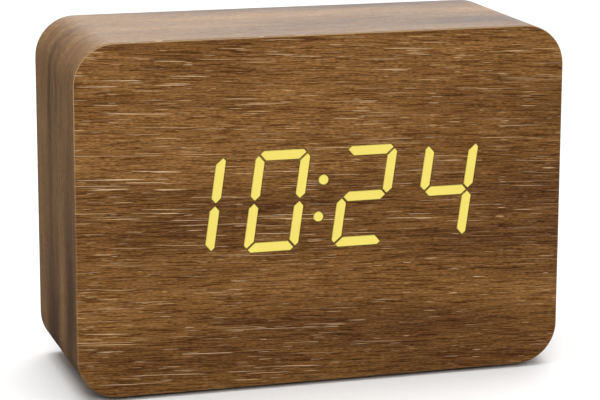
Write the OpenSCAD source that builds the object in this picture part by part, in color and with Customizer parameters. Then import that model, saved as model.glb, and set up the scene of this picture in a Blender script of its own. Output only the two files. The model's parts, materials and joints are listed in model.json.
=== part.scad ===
// Block alarm clock in veneered board, with a time that glows through the front sheet.
// Millimetres. +X is right as seen from the front, the front faces -Y, +Z is up.
// The origin lies under the middle of the case, at the level of the pads it stands on.

/* [Case] */
// Width of the case over the veneer
case_w = 100; // [90:1:140]
// Height of the case over the veneer
case_h = 70; // [64:1:100]
// Depth of the case from the front sheet to the rear rim
case_d = 38; // [36:0.5:60]
// Radius of the four long corners over the veneer
corner_r = 8.2; // [5:0.1:14]
// Thickness of the shell's left and right walls behind the wrap veneer
wall_t = 7; // [6:0.25:7.5]
// Thickness of the shell's front wall
front_wall_t = 4; // [3:0.5:6]
// Thickness of the veneer wrapped round the sides
wrap_t = 0.5; // [0.3:0.1:1]
// Thickness of the front veneer sheet
front_t = 0.6; // [0.4:0.1:1]
// Width of the arris along the front sheet's edge
arris = 0.2; // [0.1:0.05:0.3]
// Width of the butt seam where the ends of the wrap veneer meet
seam_w = 0.15; // [0.1:0.05:0.5]
// Width of the shell's rim round the back cover
rim_t = 3; // [2:0.25:3.5]
// Side of the square posts in the corners of the shell
post_w = 6; // [5:0.25:6.5]
// Radius that the cutter leaves in the corners of the cavity
cutter_r = 2; // [1:0.5:3]

/* [Feet] */
// Diameter of a foot pad
foot_d = 9; // [5:0.5:12]
// Thickness of a foot pad
foot_t = 0.8; // [0.5:0.1:3]
// Distance from the centre of a pad to the side of the case
foot_inset_x = 14; // [10:0.5:25]
// Distance from the centre of a pad to the front or rear of the case
foot_inset_y = 8; // [6:0.5:12]

/* [Time shown] */
// Tens of hours
hour_tens = 1; // [0:1:2]
// Hours
hour_units = 0; // [0:1:9]
// Tens of minutes
minute_tens = 2; // [0:1:5]
// Minutes
minute_units = 4; // [0:1:9]

/* [Display] */
// Height of a digit
digit_h = 20.3; // [16:0.1:24]
// Width of a digit at one level
digit_w = 11.2; // [9:0.1:12]
// Width of a segment's stroke
stroke = 2; // [1.5:0.1:2.5]
// Cut across the outer corners of a digit
corner_cut = 1.5; // [0.8:0.1:2]
// Gap between neighbouring segments
segment_gap = 0.3; // [0.2:0.05:0.6]
// Lean of the digits to the right, in degrees
slant = 8; // [0:0.5:12]
// Distance between the digits of a pair
digit_pitch = 17.1; // [15.5:0.1:18]
// Distance between the two digits beside the colon
colon_pitch = 18; // [16.5:0.1:19]
// Diameter of a colon dot
dot_d = 2.1; // [1.5:0.1:2.6]
// Distance between the colon dots
dot_rise = 7.4; // [5:0.1:10]
// Offset of the display to the right of the middle
display_x = -0.7; // [-2:0.1:2]
// Height of the middle of the digits above the middle of the case
display_rise = 2.4; // [0:0.1:4]
// Border of the display block round its digits
display_margin = 3; // [2:0.25:4]
// Depth of the display block
display_d = 8; // [7:0.25:10]
// Depth of the light wells in the display block
light_well = 6; // [4:0.25:6.5]
// Thickness of the diffuser in each light well
diffuser_t = 2; // [1:0.25:3]
// Number of pins in each row of the display block
pin_count = 10; // [6:1:12]
// Distance between neighbouring pins
pin_pitch = 6; // [4:0.25:6.25]
// Diameter of a pin
pin_d = 0.6; // [0.4:0.05:0.8]

/* [Boards] */
// Thickness of both circuit boards
board_t = 1.6; // [1:0.1:2]
// Gap between the main board and the walls of the cavity
board_gap = 2; // [1:0.25:3]
// Outer diameter of the spacers under the main board
spacer_d = 5; // [4:0.25:6]
// Distance of the spacers from the middle
spacer_x = 30; // [24:0.5:33]
// Height of the control board's upper strip
strip_h = 12; // [10:0.25:12.5]
// Diameter of the screws that hold the boards
board_screw_d = 2; // [1.6:0.1:2.4]
// Thread of the board screws that is held in wood or plastic
screw_bite = 3; // [2:0.25:3.5]
// Side of the controller chip
chip_w = 10; // [7:0.5:14]
// Diameter of the capacitors
cap_d = 6.3; // [4:0.1:8]
// Height of the capacitors
cap_h = 7; // [5:0.5:9]
// Width of the ribbon between the boards
ribbon_w = 10; // [6:0.5:12]
// Thickness of the ribbon
ribbon_t = 0.8; // [0.4:0.1:1.2]

/* [Aerial] */
// Diameter of the ferrite rod
rod_d = 8; // [6:0.25:8.5]
// Length of the ferrite rod
rod_l = 56; // [46:1:58]
// Length of the coil bobbin
bobbin_l = 22; // [14:1:26]
// Thickness of the bobbin's tube
bobbin_t = 0.6; // [0.4:0.1:1]
// Depth of the winding on the bobbin
winding_t = 0.9; // [0.5:0.1:1.2]
// Distance of the two rod holders from the middle
holder_x = 21; // [18:0.5:22]

/* [Back cover] */
// Thickness of the cover
cover_t = 2.4; // [2:0.1:3]
// Depth of the cover's face behind the rear rim
cover_recess = 1; // [0.8:0.1:2]
// Diameter of the cover screws
cover_screw_d = 2.4; // [2:0.1:3]
// Length of the cover screws under the head
cover_screw_l = 10; // [6:0.5:14]
// Distance of the cover screws from the edge of the rebate
screw_inset = 5; // [4.75:0.25:6]
// Diameter of the bosses that carry the control board
boss_d = 5; // [4.5:0.25:5.5]
// Diameter of the sound holes
sound_hole_d = 1.6; // [1:0.1:2]
// Radius of the ring of sound holes
sound_ring_r = 4; // [3:0.25:5]
// Number of holes in the ring
sound_hole_count = 6; // [4:1:8]

/* [Battery] */
// Diameter of a cell
cell_d = 10.5; // [10:0.1:11]
// Length of a cell with its positive cap
cell_l = 44.5; // [43:0.1:45]
// Diameter of the positive cap
nub_d = 3.8; // [3:0.1:5]
// Height of the positive cap
nub_h = 0.8; // [0.5:0.1:1.2]
// Space between neighbouring cells
lane_gap = 0.5; // [0.3:0.1:1]
// Length of a contact spring with its cell in place
spring_l = 4.5; // [4:0.1:5]
// Diameter of the spring wire
spring_wire = 0.6; // [0.4:0.05:0.7]
// Number of curls of a contact spring
spring_turns = 3; // [2:1:3]
// Thickness of the contact plates
plate_t = 0.4; // [0.3:0.05:0.6]
// Thickness of the battery well's walls
well_wall = 1.5; // [1.2:0.1:2]
// Thickness of the battery door
door_t = 1.5; // [1.2:0.1:1.8]
// Radius of the battery door's upper corners
door_r = 1.5; // [0.5:0.1:3]
// Width of a door tongue
tongue_w = 6; // [4:0.5:8]
// Thickness of a door tongue
tongue_t = 1.2; // [1:0.1:1.4]
// Reach of a door tongue behind the cover
tongue_reach = 2; // [1.5:0.1:2.2]
// Distance between the door tongues
tongue_span = 32; // [24:1:38]
// Width of the latch finger at the top of the door
latch_w = 9; // [7:0.5:12]
// Length of the slits beside the latch finger
latch_slit_l = 9; // [6:0.5:12]

/* [Controls] */
// Diameter of a button
button_d = 7; // [5:0.25:8]
// Height of a button over the cover
button_out = 0.7; // [0.5:0.1:0.8]
// Width of the flange that keeps a button behind the cover
flange_w = 1; // [0.6:0.1:1.4]
// Thickness of that flange
flange_t = 1; // [0.8:0.1:1.4]
// Travel of a button
button_travel = 0.5; // [0.25:0.05:0.6]
// Side of a key switch
switch_w = 6; // [5:0.25:6.5]
// Height of a key switch
switch_h = 3.5; // [3:0.1:4]
// Diameter of a key switch's plunger
plunger_d = 3.4; // [2.5:0.1:4]
// Height of the plunger over its switch
plunger_out = 1; // [0.8:0.1:1.4]
// Length of the slider's knob
knob_l = 4; // [3:0.1:5]
// Width of the slider's knob
knob_w = 2.6; // [2:0.1:3.2]
// Travel of the slider
slider_travel = 2.5; // [2:0.1:3]
// Space behind the cover between the slide's way and the bosses beside it
slide_side = 1.2; // [0.5:0.1:1.5]
// Diameter of the buzzer
buzzer_d = 14; // [10:0.5:15]
// Height of the buzzer
buzzer_h = 4.5; // [3:0.1:5]

/* [Power inlet] */
// Side of the inlet's body
jack_w = 9; // [8.5:0.1:9.5]
// Length of the inlet behind the cover's inner face
jack_l = 12; // [10.5:0.25:13]
// Diameter of the inlet's nose in the cover
nose_d = 8; // [7.5:0.1:8.4]
// Bore of the inlet
jack_bore_d = 6.3; // [6:0.1:6.6]
// Depth of the inlet's bore from the cover's face
jack_bore_l = 10.5; // [9:0.25:11]
// Diameter of the inlet's centre pin
jack_pin_d = 2; // [1.7:0.05:2.5]
// Depth of the pin's tip behind the cover's face
jack_pin_back = 1; // [0.5:0.1:2]

/* [Fits] */
// Gap between the back cover and the rim
cover_fit = 0.2; // [0.1:0.05:0.4]
// Gap round the display block in its window
window_fit = 0.3; // [0.1:0.05:0.5]
// Gap round a lit inlay or a diffuser
inlay_fit = 0.06; // [0.03:0.01:0.1]
// Gap round the battery door
door_fit = 0.25; // [0.15:0.05:0.4]
// Gap round buttons, plungers and the slider's knob
control_fit = 0.2; // [0.1:0.05:0.3]
// Gap round a screw, a pin or a rod in its hole
hole_fit = 0.05; // [0.02:0.01:0.1]
// Gap between pieces that seat without a fastener
seat_gap = 0.05; // [0.02:0.01:0.1]
// Gap between a cell and the door, and under a cell
cell_fit = 0.3; // [0.2:0.05:0.5]

/* [Hidden] */
$fn = 48;

// Overshoot of a cut past the face that it leaves
over = 1;

// Levels of the case
y_front = -case_d / 2;
y_rear = case_d / 2;
z_low = foot_t;
z_mid = foot_t + case_h / 2;
y_body = y_front + front_t;
y_wall = y_body + front_wall_t;
y_cover = y_rear - cover_recess;
y_inner = y_cover - cover_t;

// Cavity, rebate and cover: the works stacked behind the cover set the cavity's height
cell_count = 3;
lane = cell_d + lane_gap;
well_in_h = cell_count * lane;
well_h = well_in_h + 2 * well_wall;
tongue_gap = 0.25;
tongue_room = 1.5;
board_room = 1.2;
strip_room = 2.3;
cavity_w = case_w - 2 * (wrap_t + wall_t);
cavity_h = tongue_reach + tongue_room + well_h + board_room + strip_h + strip_room;
cavity_x = cavity_w / 2;
cavity_low = z_mid - cavity_h / 2;
cavity_high = z_mid + cavity_h / 2;
rebate_w = case_w - 2 * (wrap_t + rim_t);
rebate_h = case_h - 2 * (wrap_t + rim_t);
rebate_r = max(corner_r - wrap_t - rim_t, 1);
screw_spots = [
    for (sx = [-1, 1], sz = [-1, 1])
        [sx * (rebate_w / 2 - screw_inset), z_mid + sz * (rebate_h / 2 - screw_inset)]
];
head_ratio = 1.9;
head_h = 1.5;
head_sink = 1.3;

// Display block and main board
digit_z = z_mid + display_rise;
digit_x = [
    for (i = [-1.5, -0.5, 0.5, 1.5])
        display_x + sign(i) * colon_pitch / 2 + (abs(i) > 1 ? sign(i) * digit_pitch : 0)
];
lean = tan(slant);
housing_w = 2 * digit_pitch + colon_pitch + digit_w + digit_h * lean + 2 * display_margin;
housing_h = digit_h + 2 * display_margin;
y_display = y_body + display_d;
y_main = y_display + board_t;
pin_edge = 1.5;
pin_out = 1.2;
pin_spots = [
    for (i = [0 : pin_count - 1], sz = [-1, 1])
        [
            display_x + (i - (pin_count - 1) / 2) * pin_pitch,
            digit_z + sz * (housing_h / 2 - pin_edge)
        ]
];
spacer_room = 1.2;
spacer_spots = [
    for (sx = [-1, 1], sz = [-1, 1])
        [
            display_x + sx * spacer_x,
            digit_z + sz * (housing_h / 2 + window_fit + spacer_room + spacer_d / 2)
        ]
];
shown = [hour_tens, hour_units, minute_tens, minute_units];
SEGMENTS = ["a", "b", "c", "d", "e", "f", "g"];
LIT = ["abcdef", "bc", "abdeg", "abcdg", "bcfg", "acdfg", "acdefg", "abc", "abcdefg", "abcdfg"];

// Battery well and door
well_in_w = cell_l + spring_l + 2 * plate_t + 2 * seat_gap;
well_w = well_in_w + 2 * well_wall;
post_gap = 0.5;
well_x = -cavity_x + post_w + post_gap + well_w / 2;
well_bottom = cavity_low + tongue_reach + tongue_room;
well_z = well_bottom + well_h / 2;
y_door = y_cover - door_t;
cell_y = y_door - cell_fit - cell_d / 2;
y_floor = cell_y - cell_d / 2 - cell_fit;
y_well = y_floor - well_wall;
plate_left = well_x - well_in_w / 2;
plate_right = well_x + well_in_w / 2;
hinge_y = y_cover - door_t / 2;
hinge_z = well_bottom + door_fit + door_t / 2;
door_left = well_x - well_w / 2 + door_fit;
door_right = well_x + well_w / 2 - door_fit;
door_top = well_bottom + well_h - door_fit;
door_swing = 50;
plate_edge = 0.5;
plate_h = cell_d - 2 * plate_edge;
tail_w = 2.5;
tail_l = 2;
scoop_r = 12;
scoop_rise = 2;
latch_nose = 1;
slit_w = 0.8;
grip_count = 3;
grip_pitch = 2;
grip_w = 0.8;
spring_base_r = 3.6;
spring_tip_r = 2.6;
cradle_t = 1.2;
cradle_h = 3;

// Control board and what it carries
y_key = y_inner - seat_gap;
y_plunger = y_key - flange_t;
y_switch = y_plunger - plunger_out;
y_control = y_switch - switch_h;
y_control_front = y_control - board_t;
strip_low = well_bottom + well_h + board_room;
strip_left = -cavity_x + post_w + post_gap;
strip_right = cavity_x - post_w - post_gap;
key_z = strip_low + strip_h / 2;
wing_left = well_x + well_w / 2 + 2 * board_room;
wing_right = cavity_x - board_gap;
wing_x = (wing_left + wing_right) / 2;
board_edge = 0.5;
boss_edge = boss_d / 2 + board_edge;
slot_l = knob_l + slider_travel + 2 * control_fit;
slide_lap = 0.9;
slide_l = slot_l + slider_travel + 2 * slide_lap;
slide_way = slide_l + slider_travel + 2 * slide_side;
button_pitch = (strip_right - strip_left - 6 * boss_edge - slide_way) / 3;
button_x = [for (i = [0 : 2]) strip_left + 2 * boss_edge + (i + 0.5) * button_pitch];
jack_x = wing_x;
collar_wall = 1.2;
collar_l = 8;
collar_w = jack_w + 2 * hole_fit + 2 * collar_wall;
jack_z = cavity_low + post_w + post_gap + collar_w / 2;
wing_low = jack_z + collar_w / 2 + 2 * board_room;
buzzer_z = strip_low - buzzer_d / 2;
boss_spots = [
    [strip_left + boss_edge, key_z],
    [button_x[2] + button_pitch / 2 + boss_edge, key_z],
    [strip_right - boss_edge, key_z],
    [wing_left + boss_edge, wing_low + boss_edge]
];
slider_x = (boss_spots[1][0] + boss_spots[2][0]) / 2;
knob_x = slider_x - slider_travel / 2;
slide_t = 0.8;
slide_w = knob_w + 2 * control_fit + 2 * slide_lap;
lever_w = 1.4;
lever_l = 2.4;
slide_switch_l = 8.6;
slide_switch_w = 3.6;
slide_switch_h = 3.4;
bore_spare = 1;

// Power inlet
y_jack = y_inner - jack_l;
y_bore = y_cover - jack_bore_l;
terminal_w = 2.4;
terminal_l = 3;
terminal_t = 0.5;
terminal_x = 2.6;

// Aerial over the main board
bobbin_in_r = rod_d / 2 + hole_fit;
winding_in_r = bobbin_in_r + bobbin_t;
winding_r = winding_in_r + winding_t;
bobbin_lip = 0.4;
bobbin_flange_r = winding_r + bobbin_lip;
bobbin_flange_t = 1;
bobbin_x = 4;
bobbin_gap = 0.6;
rod_y = y_main + bobbin_flange_r + bobbin_gap;
rod_z = cavity_high - bobbin_flange_r - board_gap;
holder_t = 1.5;
holder_l = 4;

// Pieces on the main board
chip_x = -6;
chip_z = digit_z;
chip_t = 1.6;
leg_count = 8;
leg_l = 1.2;
leg_t = 0.35;
crystal_d = 3;
crystal_l = 8;
part_gap = 1.5;
crystal_x = chip_x + chip_w / 2 + leg_l + part_gap + crystal_l / 2;
cap_x = [
    for (i = [0, 1])
        crystal_x + crystal_l / 2 + part_gap + cap_d / 2 + i * (cap_d + part_gap)
];
receiver_w = 18;
receiver_h = 11;
receiver_t = 1;
receiver_x = chip_x - chip_w / 2 - leg_l - part_gap - receiver_w / 2;
receiver_z = chip_z + chip_w / 2;
plug_h = 4;
plug_side = 1.5;
plug_w = ribbon_w + 2 * plug_side;
plug_l = 4.5;
ribbon_x = wing_x;
ribbon_z = strip_low - plug_l;
ribbon_sag = 3;
lead_r = 0.55;
lead_slack = 4;
fine_lead_r = 0.25;
fine_lead_pitch = 1;
fine_lead_slack = 2.5;
pad_edge = 1.5;

// A flat outline drawn in x and z, thickened from y0 to y1
module slab(y0, y1) {
    translate([0, y1, 0])
        rotate([90, 0, 0])
            linear_extrude(height = y1 - y0)
                children();
}

// A round bar along +Y
module bar_y(x, z, r, y0, y1) {
    translate([x, y0, z])
        rotate([-90, 0, 0])
            cylinder(r = r, h = y1 - y0);
}

// A round bar along +X
module bar_x(y, z, r, x0, x1) {
    translate([x0, y, z])
        rotate([0, 90, 0])
            cylinder(r = r, h = x1 - x0);
}

// A block between two corners
module block(low, high) {
    translate(low)
        cube(high - low);
}

// A rectangle with round corners, about the origin
module rounded(w, h, r) {
    square([w - 2 * r, h], center = true);
    square([w, h - 2 * r], center = true);
    for (sx = [-1, 1], sz = [-1, 1])
        translate([sx * (w / 2 - r), sz * (h / 2 - r)])
            circle(r = r);
}

// The case's outline, drawn in by a margin
module case_outline(inset) {
    translate([0, z_mid])
        rounded(case_w - 2 * inset, case_h - 2 * inset, corner_r - inset);
}

// A block whose sides flare towards the rear at half a right angle, to leave the front sheet's arris
module flared_block(y0, y1) {
    grow0 = y0 - y_front - arris;
    grow1 = y1 - y_front - arris;
    straight_x = case_w / 2 - corner_r;
    straight_z = case_h / 2 - corner_r;
    along_x = [
        [y1, -case_h / 2 - grow1], [y1, case_h / 2 + grow1],
        [y0, case_h / 2 + grow0], [y0, -case_h / 2 - grow0]
    ];
    along_z = [
        [-case_w / 2 - grow1, y1], [case_w / 2 + grow1, y1],
        [case_w / 2 + grow0, y0], [-case_w / 2 - grow0, y0]
    ];
    translate([0, 0, z_mid]) {
        rotate([90, 0, 90])
            translate([0, 0, -straight_x])
                linear_extrude(height = 2 * straight_x)
                    polygon(along_x);
        translate([0, 0, -straight_z])
            linear_extrude(height = 2 * straight_z)
                polygon(along_z);
        for (sx = [-1, 1], sz = [-1, 1])
            translate([sx * straight_x, y0, sz * straight_z])
                rotate([-90, 0, 0])
                    cylinder(r1 = corner_r + grow0, r2 = corner_r + grow1, h = y1 - y0);
    }
}

// Outline of one segment of a digit about its centre, drawn in by a margin
function segment_points(name, inset) =
    let (
        a = digit_w / 2 - inset,
        b = digit_h / 2 - inset,
        t = stroke - 2 * inset,
        c = corner_cut - (2 - sqrt(2)) * inset,
        k = (segment_gap + 2 * inset) / sqrt(2),
        flat = [
            [c - a, b], [a - c, b], [a - (c + k) / 2, b - (c - k) / 2],
            [a - t - k, b - t], [t + k - a, b - t], [(c + k) / 2 - a, b - (c - k) / 2]
        ],
        upright = [
            [a - (c - k) / 2, b - (c + k) / 2], [a, b - c], [a, t / 2 + k],
            [a - t / 2, k], [a - t, t / 2 + k], [a - t, b - t - k]
        ],
        tip = a - t / 2 - k,
        middle = [
            [tip, 0], [tip - t / 2, t / 2], [t / 2 - tip, t / 2],
            [-tip, 0], [t / 2 - tip, -t / 2], [tip - t / 2, -t / 2]
        ],
        points = name == "g" ? middle : name == "a" || name == "d" ? flat : upright,
        sx = name == "e" || name == "f" ? -1 : 1,
        sz = name == "c" || name == "d" || name == "e" ? -1 : 1
    )
    [for (p = points) [sx * p[0] + sz * p[1] * lean, sz * p[1]]];

// Whether a numeral lights a segment
function is_lit(numeral, name) = len(search(name, LIT[numeral])) > 0;

// The display's segments and colon dots, either all of them or only the lit ones
module time_shapes(only_lit, inset) {
    for (i = [0 : 3], name = SEGMENTS)
        if (!only_lit || is_lit(shown[i], name))
            translate([digit_x[i], digit_z])
                polygon(segment_points(name, inset));
    for (s = [-1, 1])
        translate([display_x + s * dot_rise / 2 * lean, digit_z + s * dot_rise / 2])
            circle(d = dot_d - 2 * inset);
}

// A pan-head screw along Y with its head's seat at y, pointing along s
module pan_screw(x, z, y, d, l, s) {
    translate([x, y, z])
        rotate([s * -90, 0, 0])
            difference() {
                union() {
                    cylinder(d = d, h = l);
                    translate([0, 0, -head_h])
                        cylinder(d = d * head_ratio, h = head_h);
                }
                for (turn = [0, 90])
                    rotate([0, 0, turn])
                        translate([-d / 2, -d / 8, -head_h - over])
                            cube([d, d / 4, over + head_h / 2]);
            }
}

function unit(v) = v / norm(v);

// Direction of a path at one of its points
function heading(path, i) = unit(path[min(i + 1, len(path) - 1)] - path[max(i - 1, 0)]);

// Ring of points round a path, square to it
function ring(path, i, r, sides, side_way) =
    let (
        t = heading(path, i),
        n = unit(cross(t, side_way)),
        b = cross(t, n)
    )
    [for (k = [0 : sides - 1]) path[i] + r * (cos(360 * k / sides) * n + sin(360 * k / sides) * b)];

// A round wire along a path: side_way is a direction that the path never takes
module wire(path, r, sides, side_way) {
    last = (len(path) - 1) * sides;
    skin = [
        for (i = [0 : len(path) - 2], k = [0 : sides - 1])
            let (
                low = i * sides + k,
                low_next = i * sides + (k + 1) % sides,
                high = low + sides,
                high_next = low_next + sides
            )
            each [[low, high, high_next], [low, high_next, low_next]]
    ];
    ends = [
        for (k = [1 : sides - 2])
            each [[0, k, k + 1], [last, last + k + 1, last + k]]
    ];
    polyhedron(
        points = [for (i = [0 : len(path) - 1]) each ring(path, i, r, sides, side_way)],
        faces = concat(skin, ends)
    );
}

// A smooth curve from p0, leaving along d0, to p1, arriving from the side of d1
function curve(p0, d0, p1, d1, steps) = [
    for (i = [0 : steps])
        let (u = i / steps, v = 1 - u)
        v * v * v * p0 + 3 * v * v * u * (p0 + d0) + 3 * v * u * u * (p1 + d1) + u * u * u * p1
];

// The route of a soldered lead: short straight ends, square to what they meet, and a curve between
function lead_route(p0, d0, p1, d1, straight) =
    let (
        a = p0 + seat_gap * unit(d0),
        b = p1 + seat_gap * unit(d1)
    )
    concat([a], curve(a + straight * unit(d0), d0, b + straight * unit(d1), d1, 12), [b]);

// The milled shell
module case_body() {
    color("burlywood")
        difference() {
            slab(y_body, y_rear)
                case_outline(wrap_t);
            slab(y_wall, y_rear + over)
                translate([0, z_mid]) {
                    rounded(cavity_w - 2 * post_w, cavity_h, cutter_r);
                    rounded(cavity_w, cavity_h - 2 * post_w, cutter_r);
                }
            slab(y_inner, y_rear + over)
                translate([0, z_mid])
                    rounded(rebate_w, rebate_h, rebate_r);
            slab(y_front, y_wall + over)
                translate([display_x, digit_z])
                    square([housing_w + 2 * window_fit, housing_h + 2 * window_fit], center = true);
            for (p = screw_spots)
                bar_y(p[0], p[1], cover_screw_d / 2 + hole_fit,
                    y_inner - cover_screw_l, y_rear);
            for (p = spacer_spots)
                bar_y(p[0], p[1], board_screw_d / 2 + hole_fit,
                    y_wall - screw_bite - hole_fit, y_wall + over);
        }
}

// The veneer round top, sides and bottom, with its seam underneath
module wrap_veneer() {
    color("peru")
        difference() {
            slab(y_body, y_rear)
                difference() {
                    case_outline(0);
                    case_outline(wrap_t);
                }
            block([-seam_w / 2, y_front, z_low - over], [seam_w / 2, y_rear + over, z_low + over]);
        }
}

// The front sheet, open where a segment is lit
module front_veneer() {
    color("sienna")
        intersection() {
            slab(y_front, y_body)
                difference() {
                    case_outline(0);
                    time_shapes(true, 0);
                }
            flared_block(y_front - over, y_body + over);
        }
}

// The glowing inlays of the time shown
module lit_segments() {
    color("gold")
        slab(y_front, y_body)
            time_shapes(true, inlay_fit);
}

// Four pads under the case
module foot_pads() {
    color("dimgray")
        for (sx = [-1, 1], sy = [-1, 1])
            translate([sx * (case_w / 2 - foot_inset_x), sy * (case_d / 2 - foot_inset_y), 0])
                cylinder(d = foot_d, h = foot_t);
}

// The display block with its light wells
module display_housing() {
    color("black")
        difference() {
            slab(y_body, y_display)
                translate([display_x, digit_z])
                    square([housing_w, housing_h], center = true);
            slab(y_body - over, y_body + light_well)
                time_shapes(false, 0);
        }
}

// The diffusers in the light wells
module segment_diffusers() {
    color("lightyellow")
        slab(y_body, y_body + diffuser_t)
            time_shapes(false, inlay_fit);
}

// The display block's pins through the main board
module display_pins() {
    color("silver")
        for (p = pin_spots)
            bar_y(p[0], p[1], pin_d / 2, y_display, y_main + pin_out);
}

// The main board, notched round the corner posts
module main_board() {
    w = cavity_w - 2 * board_gap;
    h = cavity_h - 2 * board_gap;
    notch = post_w - board_gap + post_gap;
    color("darkgreen")
        slab(y_display, y_main)
            difference() {
                translate([0, z_mid]) {
                    square([w - 2 * notch, h], center = true);
                    square([w, h - 2 * notch], center = true);
                }
                for (p = spacer_spots)
                    translate(p)
                        circle(d = board_screw_d + 2 * hole_fit);
                for (p = pin_spots)
                    translate(p)
                        circle(d = pin_d + 2 * hole_fit);
            }
}

// The tubes between the shell's front wall and the main board
module board_spacers() {
    color("ivory")
        slab(y_wall, y_display)
            for (p = spacer_spots)
                translate(p)
                    difference() {
                        circle(d = spacer_d);
                        circle(d = board_screw_d + 2 * hole_fit);
                    }
}

// The screws through main board and spacers into the front wall
module board_screws() {
    color("silver")
        for (p = spacer_spots)
            pan_screw(p[0], p[1], y_main, board_screw_d, y_main - y_wall + screw_bite, -1);
}

// The clock's controller with legs on two sides
module controller_chip() {
    color([0.12, 0.12, 0.13]) {
        block([chip_x - chip_w / 2, y_main + leg_t, chip_z - chip_w / 2],
            [chip_x + chip_w / 2, y_main + chip_t, chip_z + chip_w / 2]);
        for (i = [0 : leg_count - 1], s = [-1, 1])
            translate([
                chip_x + s * (chip_w + leg_l) / 2,
                y_main + chip_t / 4,
                chip_z + (i - (leg_count - 1) / 2) * chip_w / leg_count
            ])
                cube([leg_l + leg_t, chip_t / 2, leg_t], center = true);
    }
}

// The timing crystal's can, lying on the board
module quartz_crystal() {
    color("silver")
        bar_x(y_main + crystal_d / 2, chip_z, crystal_d / 2,
            crystal_x - crystal_l / 2, crystal_x + crystal_l / 2);
}

// The smoothing capacitors, each with a groove round its foot
module capacitors() {
    r = cap_d / 2;
    groove = 0.3;
    profile = [
        [0, 0], [r, 0], [r, 3 * groove], [r - groove, 4 * groove], [r - groove, 5 * groove],
        [r, 6 * groove], [r, cap_h - groove], [r - groove, cap_h], [0, cap_h]
    ];
    color("midnightblue")
        for (x = cap_x)
            translate([x, y_main, chip_z])
                rotate([-90, 0, 0])
                    rotate_extrude()
                        polygon(profile);
}

// The time-signal receiver's own board
module receiver_board() {
    color("darkgreen")
        slab(y_main, y_main + receiver_t)
            translate([receiver_x, receiver_z])
                square([receiver_w, receiver_h], center = true);
}

// The receiver's chip
module receiver_chip() {
    w = receiver_h / 2;
    color([0.12, 0.12, 0.13])
        slab(y_main + receiver_t, y_main + receiver_t + chip_t)
            translate([receiver_x - w / 2, receiver_z])
                square([w, w], center = true);
}

// The aerial's rod
module ferrite_rod() {
    color([0.2, 0.2, 0.21])
        bar_x(rod_y, rod_z, rod_d / 2, -rod_l / 2, rod_l / 2);
}

// The bobbin on the rod
module antenna_bobbin() {
    flange = bobbin_flange_t;
    profile = [
        [bobbin_in_r, 0], [bobbin_flange_r, 0], [bobbin_flange_r, flange], [winding_in_r, flange],
        [winding_in_r, bobbin_l - flange], [bobbin_flange_r, bobbin_l - flange],
        [bobbin_flange_r, bobbin_l], [bobbin_in_r, bobbin_l]
    ];
    color("white")
        translate([bobbin_x - bobbin_l / 2, rod_y, rod_z])
            rotate([0, 90, 0])
                rotate_extrude()
                    polygon(profile);
}

// The winding between the bobbin's flanges
module antenna_winding() {
    color("darkorange")
        difference() {
            bar_x(rod_y, rod_z, winding_r,
                bobbin_x - bobbin_l / 2 + bobbin_flange_t, bobbin_x + bobbin_l / 2 - bobbin_flange_t);
            bar_x(rod_y, rod_z, winding_in_r, bobbin_x - bobbin_l, bobbin_x + bobbin_l);
        }
}

// The two brackets that carry the rod on the main board
module antenna_holders() {
    r = rod_d / 2 + hole_fit;
    color("ivory")
        for (s = [-1, 1])
            difference() {
                union() {
                    bar_x(rod_y, rod_z, r + holder_t,
                        s * holder_x - holder_l / 2, s * holder_x + holder_l / 2);
                    block([s * holder_x - holder_l / 2, y_main, rod_z - r],
                        [s * holder_x + holder_l / 2, rod_y, rod_z + r]);
                }
                bar_x(rod_y, rod_z, r, s * holder_x - holder_l, s * holder_x + holder_l);
            }
}

// The two fine leads from the winding to the receiver
module antenna_leads() {
    color("darkorange")
        for (i = [0, 1]) {
            start = [
                bobbin_x - bobbin_l / 2 + 2 * bobbin_flange_t + i * fine_lead_pitch,
                rod_y,
                rod_z - winding_r
            ];
            end = [
                receiver_x + receiver_w / 2 - pad_edge,
                y_main + receiver_t,
                receiver_z + receiver_h / 2 - pad_edge - i * 2 * fine_lead_pitch
            ];
            route = lead_route(start, [0, 0, -(1 + i) * fine_lead_slack], end, [0, fine_lead_slack, 0],
                2 * fine_lead_r);
            wire(route, fine_lead_r, 6, [1, -1, 1]);
        }
}

// The control board: a strip over the battery well and a wing beside it
module control_board() {
    color("darkgreen")
        slab(y_control_front, y_control)
            difference() {
                union() {
                    translate([strip_left, strip_low])
                        square([strip_right - strip_left, strip_h]);
                    translate([wing_left, wing_low])
                        square([wing_right - wing_left, strip_low - wing_low + strip_h / 2]);
                }
                for (p = boss_spots)
                    translate(p)
                        circle(d = board_screw_d + 2 * hole_fit);
            }
}

// The screws that hold the control board to the cover's bosses
module control_screws() {
    color("silver")
        for (p = boss_spots)
            pan_screw(p[0], p[1], y_control_front, board_screw_d, board_t + screw_bite, 1);
}

// The three key switches
module tact_switches() {
    color([0.15, 0.15, 0.16])
        for (x = button_x)
            difference() {
                slab(y_control, y_switch)
                    translate([x, key_z])
                        square([switch_w, switch_w], center = true);
                bar_y(x, key_z, plunger_d / 2 + control_fit,
                    y_switch - bore_spare - button_travel, y_switch + over);
            }
}

// The body of the alarm switch, slotted for its lever
module alarm_switch() {
    depth = lever_l - (y_key - slide_t - y_control - slide_switch_h) + 2 * control_fit;
    y_top = y_control + slide_switch_h;
    color("silver")
        difference() {
            slab(y_control, y_top)
                translate([slider_x, key_z])
                    square([slide_switch_l, slide_switch_w], center = true);
            slab(y_top - depth, y_top + over)
                translate([slider_x, key_z])
                    square([lever_w + slider_travel + 2 * control_fit, lever_w + 2 * control_fit],
                        center = true);
        }
}

// The buzzer with its sound hole
module buzzer() {
    hole = 2;
    color([0.1, 0.1, 0.11])
        difference() {
            bar_y(wing_x, buzzer_z, buzzer_d / 2, y_control, y_control + buzzer_h);
            bar_y(wing_x, buzzer_z, hole / 2, y_control + buzzer_h - over, y_control + buzzer_h + over);
        }
}

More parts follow.
